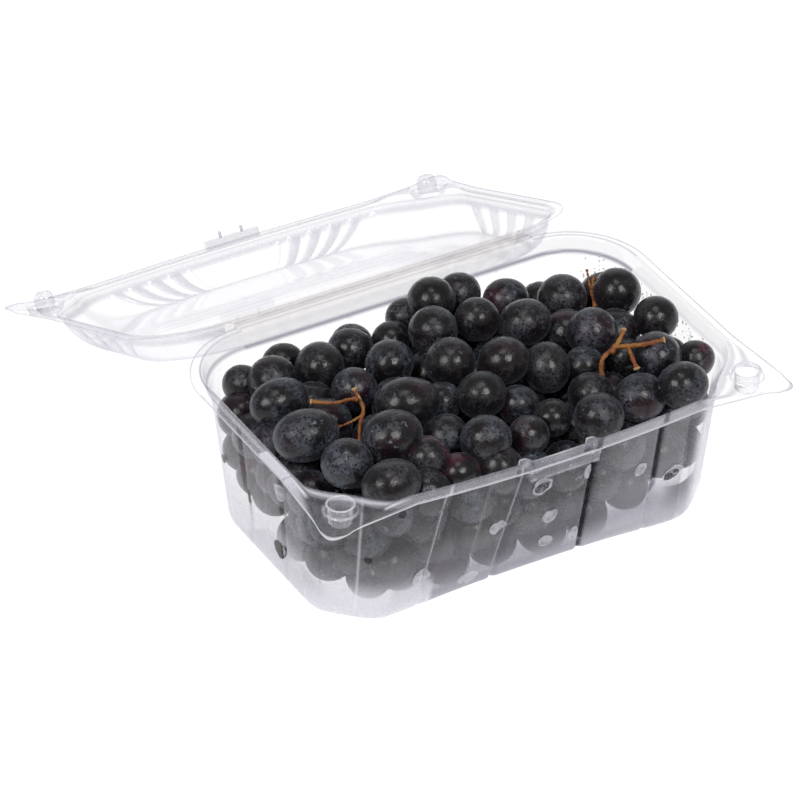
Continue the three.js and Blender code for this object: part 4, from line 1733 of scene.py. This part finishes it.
    def unit_grapes(self, polar: Array, around: Array, lump: Array, long: Array) -> Array:
        """Unit grapes on a grid of angles.

        The radius is 1, less a narrow bell-shaped dimple at the stalk end, plus soft waves of two
        and three lobes. The axis is stretched, and the far end is a little fuller.

        Args:
            polar: angles from the stalk end.
            around: angles round the axis.
            lump: three phases for each grape.
            long: each grape's length as a share of its width.

        Returns:
            Points by grape, polar angle and angle round.
        """
        p = polar[None, :, None]
        a = around[None, None, :]
        phase = lump[:, :, None, None]
        round_wave = self.lobes[0] * np.sin(2 * a + phase[:, 0]) * np.sin(p)
        waves = round_wave + self.lobes[1] * np.sin(3 * p + phase[:, 1])
        ends = self.dimple[0] * bell(p, 0.0, self.dimple[1]), self.tip[0] * bell(p, math.pi, self.tip[1])
        radius = 1 + waves - ends[0] - ends[1]
        across = radius * (1 - self.egg * np.cos(p)) * np.sin(p)
        along = radius * np.cos(p) * long[:, None, None]
        return np.stack([across * np.cos(a), across * np.sin(a), along + 0 * a], -1)

    def core(self) -> Object:
        """A dark rounded mass in the middle of the heap, painted shade for the gaps between the inner grapes:
        a superellipsoid with a few soft lumps.
        """
        rows, columns = 25, 48
        polar = np.linspace(0.02, math.pi - 0.02, rows)[:, None]
        around = circle(columns)[None]

        def power(value: Array, exponent: float) -> Array:
            """A signed power."""
            return np.sign(value) * np.abs(value) ** exponent

        lumps = 1 + 0.05 * np.sin(5 * around + 2 * polar) * np.sin(4 * polar)
        half_x, half_y, half_z = self.core_half
        x = half_x * power(np.sin(polar), 0.5) * power(np.cos(around), 0.55) * lumps
        y = half_y * power(np.sin(polar), 0.5) * power(np.sin(around), 0.55) * lumps
        z = self.core_height + half_z * power(np.cos(polar), 0.6) * lumps
        points = np.stack([x, y, z], -1).reshape(-1, 3)
        poles = [points[:columns].mean(0), points[-columns:].mean(0)]
        faces = [part[:, ::-1] for part in capped_faces(rows, columns)]
        core = add_mesh("heap_core", np.vstack([points, poles]), faces)
        finish_piece(core, Body.TRAY, Slot.GRAPE, self.shade_core_material)
        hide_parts("grape_heap")
        return core


@dataclass(frozen=True)
class WallMark:
    """A spot on the wall: its place in plan and height, its width and height, and its kind."""

    x: float
    y: float
    z: float
    width: float
    height: float
    kind: Mark = Mark.WET


@dataclass
class WallMarks:
    """Thin spots along the wall, outside it or, where off_wall is below 0, inside."""

    wall: Wall
    finishes: dict[Mark, Material]
    marks: tuple[WallMark, ...]
    off_wall: float = 0.30
    points_round: int = 28
    rings: tuple[float, ...] = (0.3, 0.55, 0.78, 0.92, 1.0)
    ending: str = "_marks"

    def spot(self, mark: WallMark, number: int) -> tuple[Array, Array]:
        """One spot's points and how far out each lies.

        Rings of an ellipse with a wavy outline, laid along the wall's stations and its height and
        moved off the wall.

        Args:
            mark: the spot.
            number: its number, which shifts its outline.

        Returns:
            The points, and 0 at the middle to 1 at the edge.
        """
        where = np.array([[mark.x, mark.y, mark.z]])
        station, normal, _ = self.wall.nearest(where)
        plan = self.wall.plan(where[:, 2])[0]
        spacing = np.linalg.norm(plan[(station + 1) % len(plan)] - plan[station])
        angle = circle(self.points_round)
        wavy = 1 + 0.07 * np.sin(2 * angle + number) + 0.05 * np.sin(3 * angle + 2.3 * number)
        share = np.array(self.rings)[:, None] * wavy
        along = station[0] + share * np.cos(angle) * mark.width / 2 / spacing
        rim = self.wall.at(along, mark.z + share * np.sin(angle) * mark.height / 2)
        middle = self.wall.at(np.array([float(station[0])]), np.array([mark.z]))
        points = np.vstack([middle, rim.reshape(-1, 3)]) - normal * self.off_wall
        return points, np.concatenate([[0.0], np.repeat(self.rings, self.points_round)])

    def build(self) -> list[Object]:
        """Joins the spots of each kind into one piece.

        Returns:
            The pieces.
        """
        pieces = []
        quads = grid_faces(len(self.rings), self.points_round, True)[:, ::-1] + 1
        fan = fan_faces(1 + np.arange(self.points_round), 0)
        for kind, finish in self.finishes.items():
            spots = [self.spot(mark, k) for k, mark in enumerate(self.marks) if mark.kind is kind]
            faces = [repeat_faces(part, len(spots), len(spots[0][0])) for part in (quads, fan)]
            piece = add_mesh(kind.value + self.ending, np.vstack([points for points, _ in spots]), faces)
            add_values(piece, "out", np.concatenate([out for _, out in spots]))
            finish_piece(piece, Body.TRAY, Slot.CLEAR, finish)
            pieces.append(piece)
        return pieces


# Stalks


@dataclass(frozen=True)
class Twig:
    """One branch of a stalk: points with heights from the rim, and its thickness along the way."""

    points: tuple[Point, ...]
    start: float = 1.1
    end: float = 0.9
    torn: bool = True


@dataclass
class Stalk:
    """A bare stalk of branches with swollen joints and torn tips."""

    name: str
    rim: float
    twigs: tuple[Twig, ...]
    material: Material
    steps: int = 40
    sides: int = 14
    swellings: Pair = (0.36, 0.40)
    ripples: Pair = (0.13, 0.10)
    lobe: float = 0.10

    def curve(self, twig: Twig) -> tuple[Array, float]:
        """Even steps along a smooth curve through the twig's points, and its length.

        The curve is a cubic between each pair of points, whose slopes there are the divided
        differences of each coordinate over the distance along them.

        Args:
            twig: the branch.

        Returns:
            The points of the curve and the length of the straight way.
        """
        way = np.array(twig.points) + [0, 0, self.rim]
        along = np.concatenate([[0], np.cumsum(np.linalg.norm(np.diff(way, axis=0), axis=1))])
        slopes = np.gradient(way, along, axis=0)
        even = np.linspace(0, along[-1], self.steps)
        seg = np.clip(np.searchsorted(along, even, side="right") - 1, 0, len(way) - 2)
        width = (along[seg + 1] - along[seg])[:, None]
        s = ((even - along[seg])[:, None]) / width
        line = (
            (2 * s**3 - 3 * s**2 + 1) * way[seg] + (s**3 - 2 * s**2 + s) * width * slopes[seg]
            + (-2 * s**3 + 3 * s**2) * way[seg + 1] + (s**3 - s**2) * width * slopes[seg + 1]
        )
        return line, along[-1]

    def twig_mesh(self, twig: Twig, phase: float) -> tuple[Array, Array]:
        """A tube along the twig's curve.

        Its radius runs from start to end, swells at both ends and has a knotty ripple.

        Args:
            twig: the branch.
            phase: shifts the ripple.

        Returns:
            The points, the tube's rings before its two poles, and how torn each point is.
        """
        line, length = self.curve(twig)
        tangent = unit(np.gradient(line, axis=0))
        side = unit(np.cross(tangent, [0.31, 0.17, 0.93]))
        other = np.cross(tangent, side)
        t = np.linspace(0, 1, self.steps)
        first, last = self.swellings
        swelling = last * bell((1 - t) * length, 0.0, 0.9) + first * bell(t, 0.0, 0.09)
        knots, fine = self.ripples
        ripple = knots * np.sin(t * length * 1.7 + phase) ** 3 + fine * np.sin(t * length * 4.7 + phase)
        radius = (blend(twig.start, twig.end, t) + swelling + ripple)[:, None, None]
        angle = circle(self.sides)[None, :, None]
        lobes = 1 + self.lobe * np.sin(3 * angle + 4 * t[:, None, None] + phase)
        ring = np.cos(angle) * side[:, None] + np.sin(angle) * other[:, None]
        points = line[:, None] + ring * radius * lobes
        poles = [line[0] - tangent[0] * 0.3, line[-1] + tangent[-1] * 0.15]
        torn = np.repeat(0.8 * ease(t, 0.95, 1.0), self.sides)
        return np.vstack([points.reshape(-1, 3), poles]), np.concatenate([torn, [0.0, 1.0]]) * twig.torn

    def build(self) -> Object:
        """Joins the branches into one piece that stands for the stalk's solid."""
        parts = [self.twig_mesh(twig, 1.7 * number) for number, twig in enumerate(self.twigs)]
        points, torn = (np.concatenate(values) for values in zip(*parts))
        faces = [repeat_faces(f, len(parts), len(parts[0][0])) for f in capped_faces(self.steps, self.sides)]
        piece = add_mesh(self.name + "_bark", points, faces)
        add_values(piece, "torn", torn)
        finish_piece(piece, Body.TRAY, Slot.STALK, self.material)
        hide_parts(self.name)
        return piece


# Studio


def away_from(azimuth: float, elevation: float) -> Vector:
    """The direction from the punnet to something at an azimuth and an elevation in degrees."""
    a, e = math.radians(azimuth), math.radians(elevation)
    return Vector((math.sin(a) * math.cos(e), -math.cos(a) * math.cos(e), math.sin(e)))


@dataclass(frozen=True)
class Softbox:
    """A square soft light aimed at the punnet, placed by azimuth and elevation."""

    name: str
    azimuth: float
    elevation: float
    distance: float
    size: float
    power: float

    def build(self, target: Vector) -> Object:
        """Makes the light and turns it to the target."""
        data = bpy.data.lights.new(self.name, "AREA")
        data.shape = "SQUARE"
        data.size = self.size
        data.energy = self.power
        light = add_object(self.name, data)
        away = away_from(self.azimuth, self.elevation)
        light.location = target + away * self.distance
        light.rotation_euler = away.to_track_quat("Z", "Y").to_euler()
        return light


@dataclass(frozen=True)
class Studio:
    """Camera, floor, soft lights and a pale surround."""

    target: Point = (-15.2, 24.8, 39.3)
    azimuth: float = -29.88
    elevation: float = 34.65
    distance: float = 2188.6
    roll: float = 0.245
    lens: float = 269.6
    sensor: float = 36.0
    clip: Pair = (0.05, 50.0)
    floor_half: float = 6000.0
    floor_gap: float = 0.2
    surround: float = 0.32
    bounces: int = 6
    clear_bounces: int = 24
    lights: tuple[Softbox, ...] = (
        Softbox("key_left", -70, 42, 1.6, 0.70, 9.5),
        Softbox("key_right", 8, 44, 1.6, 0.58, 8.5),
        Softbox("overhead", -20, 84, 1.6, 0.6, 3.0),
        Softbox("backdrop", 150, 30, 2.6, 2.4, 7.0),
    )

    def camera(self) -> Object:
        """A long lens at the viewing angle."""
        data = bpy.data.cameras.new("camera")
        data.lens = self.lens
        data.sensor_width = self.sensor
        data.clip_start, data.clip_end = self.clip
        camera = add_object("camera", data)
        back = away_from(self.azimuth, self.elevation)
        camera.location = (Vector(self.target) + back * self.distance) * MM
        turn = back.to_track_quat("Z", "Y").to_matrix() @ Matrix.Rotation(math.radians(self.roll), 3, "Z")
        camera.rotation_euler = turn.to_euler()
        bpy.context.scene.camera = camera
        return camera

    def floor(self) -> Object:
        """A wide flat floor just under the base."""
        corners = np.array([[-1, -1, 0], [1, -1, 0], [1, 1, 0], [-1, 1, 0]]) * self.floor_half
        floor = add_mesh("floor", corners - [0, 0, self.floor_gap], [np.array([[0, 1, 2, 3]])])
        floor.data.materials.append(PaleFloor().build())
        return floor

    def build(self) -> None:
        """Sets up the whole studio."""
        self.camera()
        self.floor()
        for light in self.lights:
            light.build(Vector(self.target) * MM)
        scene = bpy.context.scene
        scene.world = bpy.data.worlds.new("surround")
        scene.world.use_nodes = True
        background = scene.world.node_tree.nodes["Background"]
        background.inputs["Color"].default_value = (1.0, 1.0, 1.0, 1.0)
        background.inputs["Strength"].default_value = self.surround
        scene.view_settings.view_transform = "Standard"
        scene.cycles.transparent_max_bounces = self.clear_bounces
        scene.cycles.max_bounces = self.bounces
        log.info("studio: camera, floor and %d lights", len(self.lights))


# The whole

# The uppermost grapes, laid one by one from the back row to the front.
UPPER_GRAPES = (
    Placed(-70.5, 42, -10, 7.2), Placed(-63, 35, -6, 9.0, 1.05, 20), Placed(-52, 46, -9, 7.6),
    Placed(-46, 30, -3, 9.1, 1.04, 60), Placed(-28, 39, -7, 8.4), Placed(-22, 50, -11, 7.6),
    Placed(-24, 17, -1, 8.7, 1.08, 30), Placed(-11, 38, -8, 7.5), Placed(0, 47, -6, 7.2),
    Placed(7, 41, 2, 9.0, 1.03, 10), Placed(-2.8, 22.4, 3.6, 9.0, 1.02, 40), Placed(21, 45, -2, 8.1),
    Placed(-7.8, 1.5, 3.4, 9.1, 1.05, 80), Placed(15, 21, 3, 8.1, redness=0.35),
    Placed(36, 36, -4, 7.9, 1.12, redness=0.5), Placed(30, 12, 2, 8.8, 1.12),
    Placed(53, 24, -2, 8.9, redness=0.3), Placed(46.6, -7.2, 3.5, 9.1, bloom=1.0),
    Placed(71, 15, 0, 9.0, 1.02), Placed(76, -4, -2, 8.1), Placed(61, -29, 1, 9.0, 1.1, 70),
    Placed(77, -30, -5, 7.0, redness=1.0), Placed(63, -50, -2, 8.6, 1.1), Placed(47, -41, -5, 8.8, 1.15),
    Placed(-70, 16, -2, 8.6, 1.32, 4, redness=-1.0), Placed(-42, 11, -3, 8.2, redness=0.2),
    Placed(-73, -9, 0, 9.7, 1.26, -5), Placed(-33, -12, 2, 9.4, 1.28, -12), Placed(-18, -11, -3, 7.2),
    Placed(-48, -28, 2, 9.7, 1.22, 10, bloom=0.9), Placed(-40, -38, -4, 8.0, redness=0.7),
    Placed(-68, -30, -1, 9.0, bloom=0.9), Placed(-60, -49, -4, 9.2, 1.2, 5),
    Placed(-31, -45, -9, 7.6, redness=0.6),
    Placed(-18, -42, -2, 9.1, 1.04, bloom=0.8), Placed(-6, -18, 0, 8.7), Placed(6, -23, -5, 7.2),
    Placed(10, -7, 3, 9.0), Placed(24, -13, -1, 8.4, 1.15, 70, 50), Placed(38, -16, -3, 7.4, bloom=0.8),
    Placed(25, -48, -2, 8.9, bloom=0.9), Placed(33, -29, -6, 8.0), Placed(0, -41, -6, 7.2),
    Placed(14, -34, -7, 7.0), Placed(58, -13, -8, 7.0),
)

# Grapes that press against a wall, their places given a little beyond it.
WALL_GRAPES = (
    Placed(-4, -51, -18, 9.2, 1.06, 20, bloom=0.8), Placed(56, -48, -33, 9.3, 1.1, 0, bloom=0.9),
    Placed(-70, -41, -27, 9.0, 1.05, 60, bloom=1.0), Placed(-81, 14, -36, 8.8, 1.05, 90, bloom=0.6),
    Placed(-79, -8, -46, 8.6, 1.1, 90, redness=0.4), Placed(-82, 32, -30, 8.6, bloom=0.7),
    Placed(-46, -49, -24, 9.2, 1.1, 10, 40, bloom=0.9), Placed(-26, -50, -21, 8.8, 1.05, 0, bloom=0.8),
    Placed(15, -51, -22, 8.9, 1.08, 70, 30, redness=0.5), Placed(36, -50, -21, 9.1, 1.05, 0, bloom=0.9),
    Placed(-34, -44, -50, 8.9, 1.08, 0, bloom=0.8, redness=0.5), Placed(-12, -45, -50, 9.0, 1.05, bloom=0.7),
    Placed(76, -38, -22, 8.8, 1.05, 90, bloom=0.8), Placed(-58, -46, -44, 8.8, 1.1, 15, redness=0.7),
    Placed(-85, 23, -19, 8.7, 1.06, 90, bloom=0.6), Placed(-84, 5, -25, 8.9, 1.04, 80, redness=0.8),
    Placed(-83, -14, -31, 8.9, 1.08, 90, bloom=0.7), Placed(-78, -31, -41, 8.8, 1.05, 70, bloom=0.8),
    Placed(-86, -3, -24, 8.8, 1.05, 90, redness=0.6), Placed(-84, -24, -28, 9.0, 1.05, 90, bloom=0.8),
    Placed(-84, 38, -18.5, 8.6, 1.04, 90, bloom=0.5), Placed(-80, 22, -35, 8.6, 1.05, 90, redness=0.9),
    Placed(-66, 28, -22, 8.6, 1.05, 90), Placed(7, -45, -51, 8.9, 1.05, 0, bloom=0.7),
    Placed(-69, -43, -46, 8.7, 1.05, 30, bloom=0.8), Placed(68, -46, -10, 8.8, 1.05, 10, bloom=0.8),
)

# Spots on the front and left walls: place in plan, height, width and height of the spot.
WET_SPOTS = (
    (-4, -70, 47, 6.5, 5.5), (55, -70, 29, 6.5, 5.5), (-61, -70, 54, 3.0, 4.0), (-84, -62, 32, 3.2, 3.0),
    (-95, 14, 27, 4.8, 5.2), (-95, -8, 17, 8.8, 7.8), (-95, 32, 33, 4.2, 3.8),
)
MILKY_SPOTS = (
    (56, -70, 29.5, 9.5, 8.5), (2, -70, 30, 7.0, 7.6), (2, -70, 17, 6.6, 6.6), (14.5, -70, 16, 4.6, 7.6),
    (40, -70, 38, 6.0, 6.6), (-49, -70, 19, 9.5, 8.5), (-29, -70, 11, 9.0, 6.5), (-19, -70, 33, 8.0, 7.0),
    (17, -70, 47, 4.0, 8.0), (-95, -12, 45, 6.2, 8.2), (-4, -70, 47.5, 9.5, 8.5),
)
WALL_MARKS = (
    *(WallMark(*spot) for spot in WET_SPOTS),
    *(WallMark(*spot, Mark.MILKY) for spot in MILKY_SPOTS),
)


@dataclass(frozen=True)
class Drops:
    """Tiny drops inside the wall between two places, thickest towards the first of them."""

    first: Point = (90.0, -22.0, 40.0)
    last: Point = (80.0, 52.0, 40.0)
    top: float = 59.0
    fall: float = 15.0
    width: Pair = (0.45, 1.15)
    tallness: Pair = (0.8, 1.3)
    seed: int = 5
    count: int = 260

    def marks(self, wall: Wall) -> tuple[WallMark, ...]:
        """The drops as spots on a wall."""
        random = np.random.default_rng(self.seed)
        first, last = wall.nearest(np.array([self.first, self.last]))[0]
        station = first + (last - first) * random.uniform(0, 1, self.count) ** 1.3
        z = self.top - self.fall * random.uniform(0, 1, self.count) ** 0.8
        width = random.uniform(*self.width, self.count)
        tall = random.uniform(*self.tallness, self.count)
        rows = np.column_stack([wall.at(station, z), width, width * tall])
        return tuple(WallMark(*row) for row in rows.tolist())


STALKS = {
    "stalk_left": (
        Twig(((-59, -23, -3), (-54.5, -15, 1.5), (-49.8, -9, 4), (-50.3, -3, 9)), 0.66, 0.70),
        Twig(((-51, -6, 6.6), (-54, -5.6, 6.9), (-57.5, -4, 5.9), (-65.5, 1.5, 5.6)), 0.62, 0.72),
        Twig(((-51.5, -11.5, 2.8), (-57, -12, 1.9), (-62, -12, 1.6)), 0.42, 0.36, False),
        Twig(((-51.5, -6.5, 6.4), (-50.0, -7, 7.4)), 0.72, 0.66),
    ),
    "stalk_right": (
        Twig(((38.5, -29, -5), (40, -25.5, 4.5), (46.5, -24.5, 8.2), (52.0, -20.6, 10.9)), 0.86, 0.80),
        Twig(((45, -25, 7.9), (52.5, -30, 9.4), (62, -32, 9.4)), 0.78, 0.90),
        Twig(((49, -27.5, 9.0), (48, -33, 7.0), (47.5, -37, 4.6)), 0.72, 0.78),
        Twig(((45.2, -25, 8.0), (43, -27, 7.4)), 1.0, 0.7, False),
    ),
    "stalk_back": (
        Twig(((62.5, 16, -4), (62.3, 20, 3), (63.2, 24, 7.5)), 0.8, 0.25, False),
        Twig(((62.4, 19, 2), (64.2, 21, 3.6), (65.4, 22.5, 4.2)), 0.5, 0.4, False),
    ),
}


def main() -> None:
    """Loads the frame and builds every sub-assembly in order."""
    logging.basicConfig(level=logging.INFO, format="%(name)s: %(message)s")
    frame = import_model()

    joint = frame["joints"][0]
    hinge = Hinge(joint["pos_m"][1] / MM, joint["pos_m"][2] / MM, math.radians(joint["range_deg"][1]))
    sizes = PunnetSizes()
    perimeter = Perimeter()
    clear, edge = ClearPlastic().build(), FilmEdge().build()

    Studio().build()
    tray = Tray(sizes, perimeter, clear, edge)
    tray.build()
    Lid(sizes, perimeter, hinge, clear, edge).build()
    HingeFilm(sizes, hinge, clear).build()
    wall = tray.wall()
    GrapeHeap(sizes, wall, GrapeSkin().build(), ShadeCore().build(), UPPER_GRAPES + WALL_GRAPES).build()
    wet = MarkFinish("wet_mark", (0.020, 0.014, 0.018), (0.045, 0.03, 0.04), 0.92, 0.25)
    milky = MarkFinish("milky_mark", (0.70, 0.69, 0.74), (0.46, 0.45, 0.52), 0.50, 0.4)
    WallMarks(wall, {Mark.MILKY: milky.build(), Mark.WET: wet.build()}, WALL_MARKS).build()
    drop = MarkFinish("drop", (0.10, 0.10, 0.11), (0.30, 0.30, 0.32), 0.6, 0.15)
    WallMarks(
        wall, {Mark.WET: drop.build()}, Drops().marks(wall),
        off_wall=-0.30, points_round=8, rings=(0.6, 1.0), ending="_drops",
    ).build()
    bark = StalkBark().build()
    for name, twigs in STALKS.items():
        Stalk(name, sizes.depth, twigs, bark).build()


if __name__ == "__main__":
    main()
